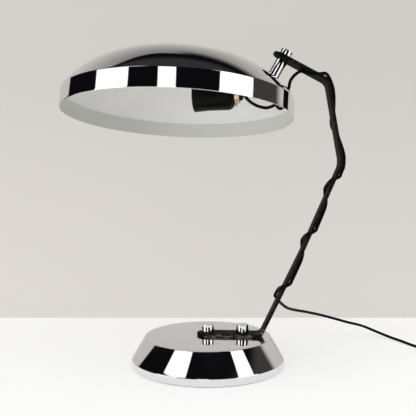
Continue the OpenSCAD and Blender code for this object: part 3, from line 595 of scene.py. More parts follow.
KNOB_R = 0.0083
KNOB_H = 0.011
SHADE_KNOB_H = 0.008
KNOB_EDGE = 0.0007
NUT_GAP = 0.0001
post_axis = np.array(next(j for j in frame["joints"] if j["name"] == "shade_swivel")["axis"], float)
foot_top = BASE_H + ARM_T + NUT_GAP
knob_places = {
    "knob_left": ((0, 0, foot_top), (0, 0, 1), KNOB_H),
    "knob_right": ((STUD_SPAN, 0, foot_top), (0, 0, 1), KNOB_H),
    "shade_knob": (pivot + (ARM_T / 2 + NUT_GAP) * post_axis, post_axis, SHADE_KNOB_H),
}
knob_chrome = polished_chrome("knob_chrome", 4e-6)
for body, (origin, axis, height) in knob_places.items():
    knob_outline = rounded([(0, 0), (KNOB_R, 0), (KNOB_R, height), (0, height)], [KNOB_EDGE, KNOB_EDGE])
    grid = placed(turned(knob_outline, 96), origin, axis)
    surface(body + "_turned", grid, knob_chrome, body, "chrome_knobs", body)

# Shade post: a turned chrome tube between the strap and the dome, its foot shaped to the curve it
# stands on, with a thin fibre washer on top that gives the shade its drag.

SHADE_R = 0.150
BAND_H = 0.022
SHOULDER_R = 0.120
SHOULDER_FROM = math.radians(55)
SHOULDER_TO = math.radians(20)
SHADE_WALL = 0.001
STUD_INSET = 0.0136
SHADE_DROP = 0.0715
SHADE_TILT = math.radians(2)
POST_R = 0.0079
POST_SIDES = 96
POST_EDGE = 0.0004
FRICTION_T = 0.001
shoulder_mid = np.array(
    [SHADE_R - SHOULDER_R * math.sin(SHOULDER_FROM), BAND_H - SHOULDER_R * math.cos(SHOULDER_FROM)]
)
crown_r = (shoulder_mid[0] + SHOULDER_R * math.sin(SHOULDER_TO)) / math.sin(SHOULDER_TO)
crown_mid = shoulder_mid[1] + (SHOULDER_R - crown_r) * math.cos(SHOULDER_TO)
shade_turn = math.radians(-7)


def turned_with_shade(points):
    """Points turned about the post as the shade is: along it unchanged, across it by its angle."""
    q = np.asarray(points, float) - pivot
    k = post_axis / np.linalg.norm(post_axis)
    lengthwise = (q @ k)[..., None] * k
    return (
        pivot
        + q * math.cos(shade_turn)
        + np.cross(k, q) * math.sin(shade_turn)
        + lengthwise * (1 - math.cos(shade_turn))
    )


shade_axis = np.array([math.sin(SHADE_TILT), 0, math.cos(SHADE_TILT)])
shade_mid = np.array([pivot[0] - (SHADE_R - STUD_INSET), 0, pivot[2] - SHADE_DROP])


def above_dome(points):
    """How far points lie above the outer shoulder curve, along the shade's own axis."""
    q = points - shade_mid
    up = q @ shade_axis
    r = np.linalg.norm(q - up[..., None] * shade_axis, axis=-1)
    return up - (shoulder_mid[1] + np.sqrt(np.maximum(SHOULDER_R**2 - (r - shoulder_mid[0]) ** 2, 0)))


def post_grid(radius, bore, top, bottom_guess):
    """A tube from top down the post axis whose foot follows the dome: each side of the tube is cut
    off where it meets the shoulder curve, found by halving."""
    ring = np.arange(POST_SIDES) * 2 * math.pi / POST_SIDES
    x_way = np.array([post_axis[2], 0, -post_axis[0]])
    round_way = np.cos(ring)[:, None] * x_way + np.sin(ring)[:, None] * np.array([0, 1, 0])
    rows = []
    for r in (radius, bore):
        low = np.full(POST_SIDES, bottom_guess)
        high = np.full(POST_SIDES, top)
        for _ in range(40):
            mid = (low + high) / 2
            outside = above_dome(pivot + r * round_way + mid[:, None] * post_axis) > 0
            high = np.where(outside, mid, high)
            low = np.where(outside, low, mid)
        rows.append((r, high))
    (r_out, foot_out), (r_in, foot_in) = rows

    def ring_at(r, height):
        return pivot + r * round_way + (height * np.ones(POST_SIDES))[:, None] * post_axis

    return np.stack(
        [
            ring_at(r_in, foot_in),
            ring_at(r_in, top),
            ring_at(r_out - POST_EDGE, top),
            ring_at(r_out - POST_EDGE / 4, top - POST_EDGE / 4),
            ring_at(r_out, top - POST_EDGE),
            ring_at(r_out, (top + foot_out) / 2),
            ring_at(r_out, foot_out + POST_EDGE / 2),
            ring_at(r_out - POST_EDGE / 2, foot_out),
        ]
    )


STUD_BORE = 0.00405
post_top = -ARM_T / 2 - NUT_GAP - FRICTION_T
post = turned_with_shade(post_grid(POST_R, STUD_BORE, post_top, -0.045))
surface("post", post, knob_chrome, "shade", "chrome_knobs", "shade_post", looped=True)
pressed_fibre = mottled(
    "pressed_fibre", (1600, 4.0, (1, 1, 4), 0.7), (0.018, 0.014, 0.012), (0.04, 0.03, 0.025), 4e-5,
    Roughness=0.7,
)
look("friction_washer", pressed_fibre)

# Shade: a spun steel bowl with an upright band and a crease above it, chrome plated outside and
# enamelled white inside. It hangs on the stud that runs down through the post.

CREASE_R = 0.0012
RIM_EDGE = 0.00045
# A point inside the bowl: the faces that look towards it get the white lining
BOWL_HEART = (0, 0, 0.03)


def arc(middle, radius, start, end, steps):
    """Points (r, z) on a circle round a middle, from one steepness to another, in radians."""
    a = np.linspace(start, end, steps)
    return np.stack([middle[0] + radius * np.sin(a), middle[1] + radius * np.cos(a)], -1)


def dome_line(inset):
    """The bowl's outline from just above the rim to the crown, moved in by inset: an upright band,
    a softened crease, a shoulder arc, and a flatter crown arc that carries on from it."""
    shoulder = SHOULDER_R - inset
    start = math.asin((SHOULDER_R * math.sin(SHOULDER_FROM) - inset) / shoulder)
    curve = arc(shoulder_mid, shoulder, start, SHOULDER_TO, 40)
    crease = rounded([(SHADE_R - inset, 0.002), curve[0], curve[1]], [CREASE_R], 7)
    crown = arc((0, crown_mid), crown_r - inset, SHOULDER_TO, 0, 30)
    return np.concatenate([crease[:-1], curve[1:], crown[1:]])


def in_shade(points):
    """Moves points from the bowl's own axis to where it hangs, turned about the post."""
    return turned_with_shade(placed(points, shade_mid, shade_axis))


def white_enamel(name):
    """Sprayed white enamel, a little uneven, with a fine orange peel. The upright band, up to the
    crease, is painted greyer as painted shade."""
    material, nodes = new_material(name)
    uneven = noise(nodes, 22, 3.0)
    lining_tone = nodes.mix(uneven, (0.79, 0.79, 0.775, 1), (0.84, 0.84, 0.83, 1))
    rim_mid, above_rim = in_shade(np.array([[0, 0, 0], [0, 0, 1.0]]))
    upward = above_rim - rim_mid
    from_rim = nodes.less(nodes.dot(nodes.place(), upward), float(rim_mid @ upward))
    # The band below the crease is painted greyer than the rest of the lining: painted shade
    above_shaded_band = nodes.step(from_rim, BAND_H - 0.0015, BAND_H + 0.0005)
    shaded(
        nodes,
        Base_Color=nodes.mix(above_shaded_band, (0.66, 0.67, 0.64, 1), lining_tone),
        Roughness=between(nodes, uneven, 0.38, 0.5),
        Specular_IOR_Level=0.35,
        Normal=bump(nodes, noise(nodes, 1100, 2.0), 2e-5),
    )
    return material


inside = dome_line(SHADE_WALL)[::-1]
outside = dome_line(0)
rim = rounded([inside[-1], (SHADE_R - SHADE_WALL, 0), (SHADE_R, 0), outside[0]], [RIM_EDGE, RIM_EDGE], 6)
bowl_outline = np.concatenate([inside[:-1], rim, outside[1:]])
bowl_grid = in_shade(turned(bowl_outline, 320))
bowl = surface("shade_bowl", bowl_grid, chrome, "shade", "chrome_shade", "shade_shell")
bowl.data.materials.append(white_enamel("white_lining"))
bowl_faces = len(bowl.data.polygons)
face_mids = np.empty(bowl_faces * 3)
face_ways = np.empty(bowl_faces * 3)
bowl.data.polygons.foreach_get("center", face_mids)
bowl.data.polygons.foreach_get("normal", face_ways)
heart = in_shade(np.array([BOWL_HEART]))[0]
lined = np.sum((heart - face_mids.reshape(-1, 3)) * face_ways.reshape(-1, 3), 1) > 0
bowl.data.polygons.foreach_set("material_index", lined.astype(np.int32))

# Holder bracket: a bent strip of bright zinc-plated steel, held on the shade stud by a washer and
# a hexagon nut. It carries the lampholder, which lies level inside the bowl.

bright_zinc = zinc_plate("bright_zinc")
for node in ("holder_bracket", "bracket_washer", "bracket_nut"):
    look(node, bright_zinc)

# Lampholder: a glossy black phenolic cap and skirt screwed together round a porcelain insert. A
# brass ring and a hollow brass nipple hold it to the bracket, and a small screw locks the ring.

HOLDER_FACE = pivot[0] - 0.0578
HOLDER_Z = pivot[2] - 0.045
HOLDER_R = 0.0186
HOLDER_LEN = 0.0565
HOLDER_WALL = 0.0023
HOLDER_FLARE = 0.0014
SKIRT_LEN = 0.0165
RING_T = 0.0032
CAP_ROUND = 0.010
NIPPLE_R = 0.005
CAP_LEN = HOLDER_LEN - SKIRT_LEN
NECK_LEN = 0.008
NECK_R = HOLDER_R - HOLDER_WALL - 0.0001
INSERT_R = NECK_R - HOLDER_WALL + 0.00005
INSERT_TO = RING_T + (HOLDER_LEN - RING_T) * 0.35 + 0.010
SCREW_R = 0.0133
SHELL_T = 0.0008
SHELL_ROOM = SCREW_R + SHELL_T + 0.0003
RUN_FIT = 0.00005
SLIDE_GAP = 0.0001
NOTCH_R = 0.0018
NOTCH_HALF = 0.0026
NOTCH_OUT = 0.0007


def at_holder(points):
    """Moves points from the lampholder's own axis to its place in the shade."""
    return turned_with_shade(placed(points, (HOLDER_FACE, 0, HOLDER_Z), (-1, 0, 0), (0, 0, 1)))


def loop_outline(corners, radii, steps=5):
    """A closed outline with its corners rounded, without a second copy of its first point."""
    corners = np.array(corners, float)
    start = (corners[-1] + corners[0]) / 2
    return rounded(np.concatenate([[start], corners, [start]]), radii, steps)[:-1]


# Deep black resin with a glossy skin and faint flow lines
resin = mottled(
    "black_phenolic", (130, 4.0, (1, 2.5, 1), 0.6), (0.0018, 0.0016, 0.0015), (0.004, 0.0035, 0.003),
    1.5e-5, rough=(0.20, 0.30), grain=(420, 2.0), Specular_IOR_Level=0.08,
)
brass_plate = mottled(
    "brass", (180, 5.0, EVEN, 0.65), (0.78, 0.60, 0.27), (0.55, 0.40, 0.18), 1e-5,
    rough=(0.2, 0.42), edges=(0.4, 0.8), grain=(2500, 2.0), Metallic=1.0,
)
porcelain = mottled(
    "porcelain", (700, 4.0), (0.74, 0.72, 0.66), (0.82, 0.80, 0.75), 3e-5, rough=(0.3, 0.5)
)
cap_outline = loop_outline(
    [
        (NIPPLE_R + RUN_FIT, RING_T),
        (HOLDER_R, RING_T),
        (HOLDER_R, CAP_LEN),
        (NECK_R, CAP_LEN),
        (NECK_R, CAP_LEN + NECK_LEN),
        (SHELL_ROOM, CAP_LEN + NECK_LEN),
        (SHELL_ROOM, INSERT_TO),
        (INSERT_R + RUN_FIT, INSERT_TO),
        (INSERT_R + RUN_FIT, RING_T + HOLDER_WALL),
        (NIPPLE_R + RUN_FIT, RING_T + HOLDER_WALL),
    ],
    [0.0003, CAP_ROUND, 0.0004, 0.0002, 0.0003, 0.0003, 0.0001, 0.0001, CAP_ROUND - 0.004, 0.0003],
    9,
)


def notched(points):
    """Cuts the catch's notch: near the joint's underside, points further down than the surface of
    a small cylinder lying across are raised to it, where up is the local x."""
    x, y, z = np.moveaxis(points, -1, 0)
    reach = np.sqrt(np.maximum(NOTCH_R**2 - (z - CAP_LEN) ** 2, 0))
    floor = -HOLDER_R - NOTCH_OUT + reach
    inside = (np.abs(z - CAP_LEN) < NOTCH_R) & (np.abs(y) < NOTCH_HALF) & (x < 0)
    return np.stack([np.where(inside, np.maximum(x, floor), x), y, z], -1)


def with_rows(outline, low, high, count):
    """Adds points to the outline's long straight side from low to high, at the holder's radius."""
    k = int(np.argmax(np.abs(np.diff(outline[:, 1])) * (outline[:-1, 0] > HOLDER_R - 0.0001)))
    z = np.linspace(low, high, count)
    z = z if outline[k + 1, 1] > outline[k, 1] else z[::-1]
    share = (z - outline[k, 1]) / (outline[k + 1, 1] - outline[k, 1])
    extra = outline[k] + share[:, None] * (outline[k + 1] - outline[k])
    return np.concatenate([outline[: k + 1], extra, outline[k + 1 :]])


cap_outline = with_rows(cap_outline, CAP_LEN - 0.002, CAP_LEN - 0.0005, 9)
cap_grid = at_holder(notched(turned(cap_outline, 180)))
surface("lampholder_cap", cap_grid, resin, "shade", "black_holder", "holder_cap", looped=True)
mouth_r = HOLDER_R + HOLDER_FLARE
skirt_outline = loop_outline(
    [
        (NECK_R + RUN_FIT, CAP_LEN + SLIDE_GAP),
        (HOLDER_R, CAP_LEN + SLIDE_GAP),
        (mouth_r, HOLDER_LEN),
        (mouth_r - HOLDER_WALL + 0.0006, HOLDER_LEN),
        (NECK_R + RUN_FIT, CAP_LEN + NECK_LEN + 0.001),
    ],
    [0.0002, 0.0004, 0.0006, 0.0006, 0.001],
    6,
)
skirt_outline = with_rows(skirt_outline, CAP_LEN + 0.0006, CAP_LEN + 0.0021, 9)
skirt_grid = at_holder(notched(turned(skirt_outline, 180)))
surface("lampholder_skirt", skirt_grid, resin, "shade", "black_holder", "holder_skirt", looped=True)
for node in ("nipple_ring", "holder_nipple", "centre_contact"):
    look(node, brass_plate)
for node in ("terminal_screws", "lock_screw"):
    look(node, bright_zinc)
look("holder_insert", porcelain)

# Screw shell: thin brass with the round thread of the lamp cap rolled into it. It sits on the
# porcelain, and its thread starts above the centre contact.

THREAD_PITCH = 0.00362
THREAD_DEPTH = 0.00035
THREAD_FADE = 0.0015
THREAD_SIDES = 96
THREAD_ROWS = 72
SHELL_LEN = HOLDER_LEN - INSERT_TO - 0.005


def threaded_shell(radius, length, wall, start):
    """A sheet with a helical wave: its radius swings by the thread's depth as the height less the
    part of a turn gone round passes through each pitch. The wave fades in and out at the ends."""
    height = np.linspace(start, length, THREAD_ROWS)[:, None]
    angle = np.arange(THREAD_SIDES) * 2 * math.pi / THREAD_SIDES
    fade = np.clip(np.minimum(height - start, length - height) / THREAD_FADE, 0, 1)
    wave = THREAD_DEPTH * fade * np.cos(2 * math.pi * height / THREAD_PITCH - angle)
    inner = radius + THREAD_DEPTH + wave * 0.9
    both = np.concatenate([inner, (inner + wall - 2 * THREAD_DEPTH)[::-1]])
    heights = np.repeat(np.concatenate([height, height[::-1]]), THREAD_SIDES, 1)
    return np.stack([both * np.cos(angle), both * np.sin(angle), INSERT_TO + heights], -1)


shell_grid = at_holder(threaded_shell(SCREW_R, SHELL_LEN, SHELL_T + THREAD_DEPTH, 0.0002))
surface("thread_shell", shell_grid, brass_plate, "shade", "brass", "screw_shell", looped=True, crease=60)

# Cord gland and lead grommet: black rubber. The gland is pushed on the nipple behind the bracket,
# and the grommet is snapped into the lead hole in the bowl's shoulder.

LEAD_D = 0.004
LEAD_R = LEAD_D / 2
LEAD_HOLE_REACH = SHADE_R - 0.011
BRACKET_T = 0.0025
GLAND_LEN = 0.0044
GLAND_R = 0.0070
GLAND_NECK_R = 0.0052
GLAND_CONE = 0.0016
GLAND_FACE = 0.0006
GROMMET_R = LEAD_R + 0.0016
FLANGE_R = GROMMET_R + 0.002
FLANGE_T = 0.0015
GROOVE_FIT = 0.00045
hole_slope = math.asin((LEAD_HOLE_REACH - shoulder_mid[0]) / SHOULDER_R)
hole_up = shoulder_mid[1] + (SHOULDER_R - SHADE_WALL / 2) * math.cos(hole_slope)
hole_mid = placed(np.array([[LEAD_HOLE_REACH, 0, hole_up]]), shade_mid, shade_axis)[0]
hole_out = np.array([math.sin(SHADE_TILT + hole_slope), 0, math.cos(SHADE_TILT + hole_slope)])
black_rubber = mottled(
    "black_rubber", (600, 5.0, EVEN, 0.7), (0.005, 0.005, 0.005), (0.014, 0.0135, 0.013), 4e-5,
    rough=(0.5, 0.7), Specular_IOR_Level=0.2,
)
gland_outline = loop_outline(
    [
        (LEAD_R + RUN_FIT, 0),
        (GLAND_NECK_R, 0),
        (GLAND_R, GLAND_CONE),
        (GLAND_R, GLAND_LEN),
        (NIPPLE_R + RUN_FIT, GLAND_LEN),
        (NIPPLE_R + RUN_FIT, GLAND_LEN - GLAND_FACE),
        (LEAD_R + RUN_FIT, GLAND_LEN - GLAND_FACE),
    ],
    [0.0003, 0.0006, 0.0006, 0.0003, 0.0001, 0.0001, 0.0001],
)
gland_grid = at_holder(turned(gland_outline - [0, BRACKET_T + GLAND_LEN], 64))
surface("gland", gland_grid, black_rubber, "shade", "black_holder", "cord_gland", looped=True)
half = SHADE_WALL / 2 + GROOVE_FIT
grommet_outline = loop_outline(
    [
        (LEAD_R + RUN_FIT, -half - FLANGE_T),
        (FLANGE_R, -half - FLANGE_T),
        (FLANGE_R, -half),
        (GROMMET_R, -half),
        (GROMMET_R, half),
        (FLANGE_R, half),
        (FLANGE_R, half + FLANGE_T),
        (LEAD_R + RUN_FIT, half + FLANGE_T),
    ],
    [0.0005, 0.0007, 0.0001, 0.0001, 0.0001, 0.0001, 0.0007, 0.0005],
)
grommet_grid = turned_with_shade(placed(turned(grommet_outline, 64), hole_mid, hole_out))
surface("grommet", grommet_grid, black_rubber, "shade", "black_rubber", "lead_grommet", looped=True)

# Lead: round two-core lead in black PVC. Inside the bowl it sags from the gland to the grommet,
# then it loops over to the arm and goes round it on its way down, once at the top and three times
# lower.

LEAD_GAP = 0.0003
LEAD_SIDES = 16
# A direction that no route of the lead starts along
ASKEW = (0.31, 0.2, 0.93)


def spline(route, steps):
    """A Catmull-Rom curve through the route's points, with that many steps from each to the next."""
    p = np.array(route, float)
    p = np.concatenate([p[:1], p, p[-1:]])
    t = (np.arange(steps) / steps)[None, :, None]
    a, b, c, d = (p[i : len(p) - 3 + i, None] for i in range(4))
    curve = 2 * b + (c - a) * t + (2 * a - 5 * b + 4 * c - d) * t**2 + (3 * b - a - 3 * c + d) * t**3
    return np.concatenate([curve.reshape(-1, 3) / 2, p[-1:]])


def tube(path):
    """Rings of the round lead along a path. Each ring stands square to the path, and its first
    direction is the one before it with what lies along the path taken out, so it doesn't twist."""
    ways = np.gradient(path, axis=0)
    ways /= np.linalg.norm(ways, axis=1)[:, None]
    side = np.cross(ways[0], ASKEW)
    sides_way = []
    for way in ways:
        side = side - (side @ way) * way
        side = side / np.linalg.norm(side)
        sides_way.append(side)
    across = np.array(sides_way)[:, None]
    above = np.cross(ways, across[:, 0])[:, None]
    angle = (np.arange(LEAD_SIDES) * 2 * math.pi / LEAD_SIDES)[None, :, None]
    return path[:, None] + LEAD_R * (np.cos(angle) * across + np.sin(angle) * above)


# Black sheath with a soft sheen and a fine grain from drawing
lead_pvc = mottled(
    "black_pvc", (160, 3.0), (0.003, 0.003, 0.003), (0.006, 0.006, 0.0058), 1.5e-5,
    rough=(0.44, 0.56), grain=(2400, 2.0), Specular_IOR_Level=0.04,
)
mouth = np.array([HOLDER_FACE + BRACKET_T + GLAND_LEN, 0, HOLDER_Z])
# The sag in the bowl, in millimetres from the gland's mouth
INNER_SAG = np.array(
    [
        (4.5, 0.2, -4.4), (9.3, 0.4, -9.2), (15.8, 0.6, -13.5), (22.5, 0.8, -16.2), (29.5, 1, -17.6),
        (37, 1, -15.8), (41.3, 0.8, -14.2), (46, 0.6, -19), (50.3, 0.4, -17),
    ]
)
lead_start = np.array([HOLDER_FACE - RING_T - HOLDER_WALL - 0.007, 0, HOLDER_Z])
inner_route = np.concatenate(
    [
        [lead_start, (HOLDER_FACE, 0, HOLDER_Z), mouth, mouth + [0.0018, 0, -0.0009]],
        mouth + INNER_SAG / 1000,
        [hole_mid - 0.014 * hole_out + [0.002, 0, -0.004]],
        hole_mid + np.array([[-0.006], [-0.0045], [-0.003], [-0.0015], [0]]) * hole_out,
    ]
)
inner_path = turned_with_shade(spline(inner_route, 8))
surface("inner_lead", tube(inner_path), lead_pvc, "shade", "black_lead", "lead_inner")

face_off = ARM_T / 2 + LEAD_R + LEAD_GAP
edge_off = ARM_W / 2 + LEAD_R + LEAD_GAP
# Where the lead bends round a corner of the strip, it stands off by this share both ways
CORNER_SHARE = 0.76
corner_in = (LEAD_R + LEAD_GAP) * CORNER_SHARE
corner = (ARM_W / 2 + corner_in, ARM_T / 2 + corner_in)
WRAPS = 3
WRAP_PITCH = 0.073
# One turn from the front edge over the near face to the back edge, then back behind the strip:
# distance down the arm, place across it, distance out
ONE_WRAP = [
    (-0.0012, -edge_off - 0.0002, 0.0006),
    (0.0012, -corner[0], corner[1]),
    (0.0032, -0.0095, face_off + 0.0001),
    (0.0058, -0.0005, face_off + 0.0003),
    (0.0090, 0.0085, face_off + 0.0001),
    (0.0122, 0.0152, 0.0036),
    (0.0158, 0.0163, 0.002),
    (0.021, edge_off, -0.0004),
]
WRAP_RETURN = [
    (WRAP_PITCH - 0.0484, 0.0156, -0.0034),
    (WRAP_PITCH - 0.044, 0.011, -0.0048),
    (WRAP_PITCH - 0.037, 0.0045, -0.0053),
    (WRAP_PITCH - 0.027, -0.0015, -0.005),
    (WRAP_PITCH - 0.0175, -0.007, -0.0045),
    (WRAP_PITCH - 0.011, -0.0114, -face_off),
    (WRAP_PITCH - 0.0068, -corner[0], -corner[1]),
    (WRAP_PITCH - 0.0038, -edge_off - 0.0002, -0.0016),
]
FIRST_WRAP = 0.2027
# From the shade's end it goes round the strip once, then runs behind it and stands a little out
# past its back edge before the first of the open turns
wrap_top = [
    (0.044, -0.003, face_off),
    (0.050, -0.0088, face_off),
    (0.0545, -0.42 * ARM_W, face_off),
    (0.0575, -corner[0], corner[1]),
    (0.0612, -edge_off, 0.0011),
    (0.0652, -edge_off, -0.0011),
    (0.0692, -corner[0], -corner[1] - 0.0002),
    (0.0735, -0.4 * ARM_W, -face_off - 0.0003),
    (0.084, -0.0095, -face_off),
    (0.095, -0.0075, -face_off - 0.0002),
    (0.105, 0.001, -face_off),
    (0.1125, 0.0125, -face_off),
    (0.117, 0.0169, -0.0026),
    (0.121, 0.0179, -0.0004),
    (0.127, 0.0181, 0.0005),
    (0.133, 0.0179, 0),
    (0.138, 0.0169, -0.0024),
    (0.142, 0.0137, -face_off - 0.0002),
    (0.149, 0.007, -face_off),
    (0.160, -0.003, -face_off),
    (0.172, -0.0075, -face_off),
    (0.183, -0.0085, -face_off - 0.0001),
    (0.189, -0.0096, -face_off),
    (0.1932, -0.0118, -face_off),
    (0.1964, -corner[0], -corner[1]),
    (0.1992, -edge_off - 0.0002, -0.0016),
]
LAST_WRAP = [*ONE_WRAP[:6], (0.0189, corner[0], corner[1]), (0.021, edge_off, 0)]
turns_down = [ONE_WRAP + WRAP_RETURN] * (WRAPS - 1) + [LAST_WRAP]
wound = [
    (FIRST_WRAP + k * WRAP_PITCH + down, across, out)
    for k, turn in enumerate(turns_down)
    for down, across, out in turn
]
wrap_places = np.array(wrap_top + wound)
wrap_places[:, 0] = arm_length - wrap_places[:, 0]
wrap_route = on_arm(wrap_places)
lead_exit = wrap_route[-1]
surface("wound_lead", tube(spline(wrap_route, 10)), lead_pvc, "base", "black_lead", "lead_wrap")

loop_end = wrap_route[0]
loop_way = (wrap_route[1] - loop_end) / np.linalg.norm(wrap_route[1] - loop_end)
out_of_hole = np.array([[0], [0.0015], [0.003], [0.0042], [0.0055]]) * hole_out
loop_places = turned_with_shade(hole_mid + out_of_hole)
loop_route = [
    *loop_places[:4],
    loop_places[4] + [0.0008, -0.001, 0.0075],
    loop_end + [-0.0095, 0.0042, -0.0028],
    loop_end - 0.004 * loop_way,
    loop_end,
]
loop = surface("loop_lead", tube(spline(loop_route, 10)), lead_pvc, None, "black_lead", "lead_loop")
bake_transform(loop)

# Free cord: the same lead leaves the arm's back edge near its foot, comes down behind the base and
# lies on the table to a neat coil, whose end goes to the switch. 1.8 m from the arm to the plug.

CORD_LAY = LEAD_R
COIL_MID = (0.326, 0.066)
COIL_R = 0.0275
COIL_PITCH = 0.0045
COIL_LAYER_TURNS = 2.25
COIL_LAYERS = 4
COIL_LOW = CORD_LAY + 0.0008
COIL_RINGS = 48
coil_turns = COIL_LAYER_TURNS * COIL_LAYERS


def coil_line(turn):
    """Points of the coil at each turn. It spirals in through one layer and out through the next,
    and steps up by one pitch over the half turn about each change of layer."""
    k = turn / COIL_LAYER_TURNS
    f = k - 2 * np.floor(k / 2)
    r = COIL_R - COIL_PITCH * COIL_LAYER_TURNS * np.where(f > 1, 2 - f, f)
    steps = np.arange(1, COIL_LAYERS) * COIL_LAYER_TURNS
    rise = np.clip((turn[:, None] - steps + 0.25) / 0.5, 0, 1)
    z = COIL_LOW + COIL_PITCH * np.sum(rise**2 * (3 - 2 * rise), 1)
    angle = math.pi + 2 * math.pi * turn
    return np.stack([COIL_MID[0] + r * np.cos(angle), COIL_MID[1] + r * np.sin(angle), z], -1)


coil = coil_line(np.arange(COIL_RINGS * coil_turns + 1) / COIL_RINGS)
coil_in = coil[0] + [0, LEAD_D, 0]
end_turn = 2 * math.pi * coil_turns
coil_out = coil[-1] + LEAD_D * np.array([math.sin(end_turn), -math.cos(end_turn), 0])
exit_way = (lead_exit - wrap_route[-2]) / np.linalg.norm(lead_exit - wrap_route[-2])
# The free run's route from the arm to the coil, in millimetres
RUN = np.array(
    [
        (95.3, 37.6, 70.5), (103.9, 56.3, 61.5), (114.8, 83.3, 53.5), (138, 120.2, 43),
        (162.9, 148.2, 33), (188.6, 165.3, 23.5), (208, 173.9, 17), (222.9, 175.5, 13.5),
        (233.3, 170.8, 11), (242, 162.5, 8.6), (253, 150.3, 5.8), (263, 137.1, 3.8),
        (273.2, 122.8, 2.6), (286.4, 96, 2),
    ]
)
run_route = np.concatenate(
    [[lead_exit, lead_exit + 0.003 * exit_way], RUN / 1000, [coil_in + [0, 0.006, 0], coil_in]]
)
SWITCH_AT = np.array([0.303, -0.042, 0])
SWITCH_LEN = 0.062
SPOUT_LEN = 0.008
SPOUT_Z = 0.008
switch_back = SWITCH_AT + [0, SWITCH_LEN / 2 + SPOUT_LEN, SPOUT_Z]
switch_front = SWITCH_AT + [0, -SWITCH_LEN / 2 - SPOUT_LEN, SPOUT_Z]
TAIL = np.array([(299, 46, 12.2), (299.8, 33, 6.2), (300.8, 21, 3), (302, 10, 4.2)])
tail_route = np.concatenate(
    [[coil_out, coil_out - [0, 0.004, 0]], TAIL / 1000, [switch_back + [0, 0.0035, 0], switch_back]]
)
cord_path = np.concatenate([spline(run_route, 8)[:-1], coil_in[None], coil, spline(tail_route, 8)])
cord_nodes = ("cord_run", "cord_coil", "cord_tail")
cord = surface("mains_cord", tube(cord_path), lead_pvc, "base", "black_lead", *cord_nodes)

# Cord tie: a strip of grey woven nylon round the turns of the coil, welded to a closed band.

TIE_T = 0.0005
TIE_W = 0.008
TIE_CORNER = 0.0018
TIE_FIT = 0.0005
tie_in = COIL_R - COIL_PITCH * COIL_LAYER_TURNS - LEAD_R - TIE_FIT
tie_out = COIL_R + LEAD_R + TIE_FIT
tie_top = COIL_LOW + COIL_PITCH * (COIL_LAYERS - 1) + LEAD_R + TIE_FIT
tie_low = 0.00002 + TIE_T / 2


def strap_round(line, middle, width, thickness):
    """A flat strap along a closed line of (x, z): at each point a thin section with round edges
    is set square to the line, thickness along its normal and width along y."""
    way = np.roll(line, -1, 0) - np.roll(line, 1, 0)
    way /= np.linalg.norm(way, axis=1)[:, None]
    normal = np.stack([way[:, 1], -way[:, 0]], -1)
    swing = np.radians(np.linspace(-90, 90, 7))
    edge = thickness / 2
    y = width / 2 - edge + edge * np.cos(swing)
    y = np.concatenate([y, -y])
    n = np.concatenate([edge * np.sin(swing), -edge * np.sin(swing)])
    x = middle[0] + line[:, :1] + normal[:, :1] * n
    z = line[:, 1:] + normal[:, 1:] * n
    return np.stack([x, middle[1] + np.repeat(y[None], len(line), 0), z], -1)


def nylon_web(name):
    """Woven nylon in a flat grey: ribs along the strap two thirds of a millimetre apart, crossed by
    slanted ones about twice as far apart."""
    material, nodes = new_material(name)
    place = nodes.place()
    upright = {"bands_direction": "Y"}
    slanted = {"bands_direction": "DIAGONAL"}
    warp = nodes.add("ShaderNodeTexWave", upright, Vector=place, Scale=480.0, Distortion=0.4)
    weft = nodes.add("ShaderNodeTexWave", slanted, Vector=place, Scale=300.0)
    weave = nodes.math("MULTIPLY", warp.outputs["Fac"], weft.outputs["Fac"])
    shaded(
        nodes,
        Base_Color=nodes.mix(weave, (0.030, 0.031, 0.033, 1), (0.085, 0.086, 0.09, 1)),
        Roughness=0.8,
        Sheen_Weight=0.25,
        Normal=bump(nodes, weave, 1.2e-4),
    )
    return material


tie_line = loop_outline(
    [(tie_in, tie_low), (tie_out, tie_low), (tie_out, tie_top), (tie_in, tie_top)], [TIE_CORNER] * 4, 8
)
tie_sides = zip(tie_line, np.roll(tie_line, -1, 0))
tie_line = np.concatenate([np.linspace(a, b, 4)[:-1] for a, b in tie_sides])
tie_grid = strap_round(tie_line, COIL_MID, TIE_W, TIE_T)
tie = surface("coil_tie", tie_grid, nylon_web("grey_web"), "base", "grey_tie", "cord_tie", looped=True)

# Switch: a flat two-part housing in satin black plastic with a grooved spout at each end, and a
# rocker that tips on a pin. Its two halves meet in a fine line all round.

SWITCH_W = 0.025
SWITCH_H = 0.017
SPLIT_Z = 0.009
WELL_X = 0.0058
WELL_Y = 0.0113
SPOUT_R = 0.0036
CORNER_STEPS = 10


def round_ring(half_x, half_y, radius, z):
    """A rectangle with round corners: each corner's arc turns a quarter about its own middle."""
    a = np.radians(np.linspace(0, 90, CORNER_STEPS))
    sx = np.repeat([1, -1, -1, 1], CORNER_STEPS)
    sy = np.repeat([1, 1, -1, -1], CORNER_STEPS)
    turn = np.concatenate([a, a + math.pi / 2, a + math.pi, a + 3 * math.pi / 2])
    x = sx * (half_x - radius) + radius * np.cos(turn)
    y = sy * (half_y - radius) + radius * np.sin(turn)
    return np.stack([x, y, np.full(len(x), z)], -1)


def eased_rows(half_x, half_y, radius, z, edge, up, steps):
    """Rings that round off a rim by an arc of radius edge: inward and up, or down where up is -1."""
    swing = np.radians(np.linspace(0, 90, steps))
    inset = edge * (1 - np.cos(swing))
    lift = edge * np.sin(swing) * up
    return [
        round_ring(half_x - i, half_y - i, max(radius - i, 0.0001), z + h) for i, h in zip(inset, lift)
    ]


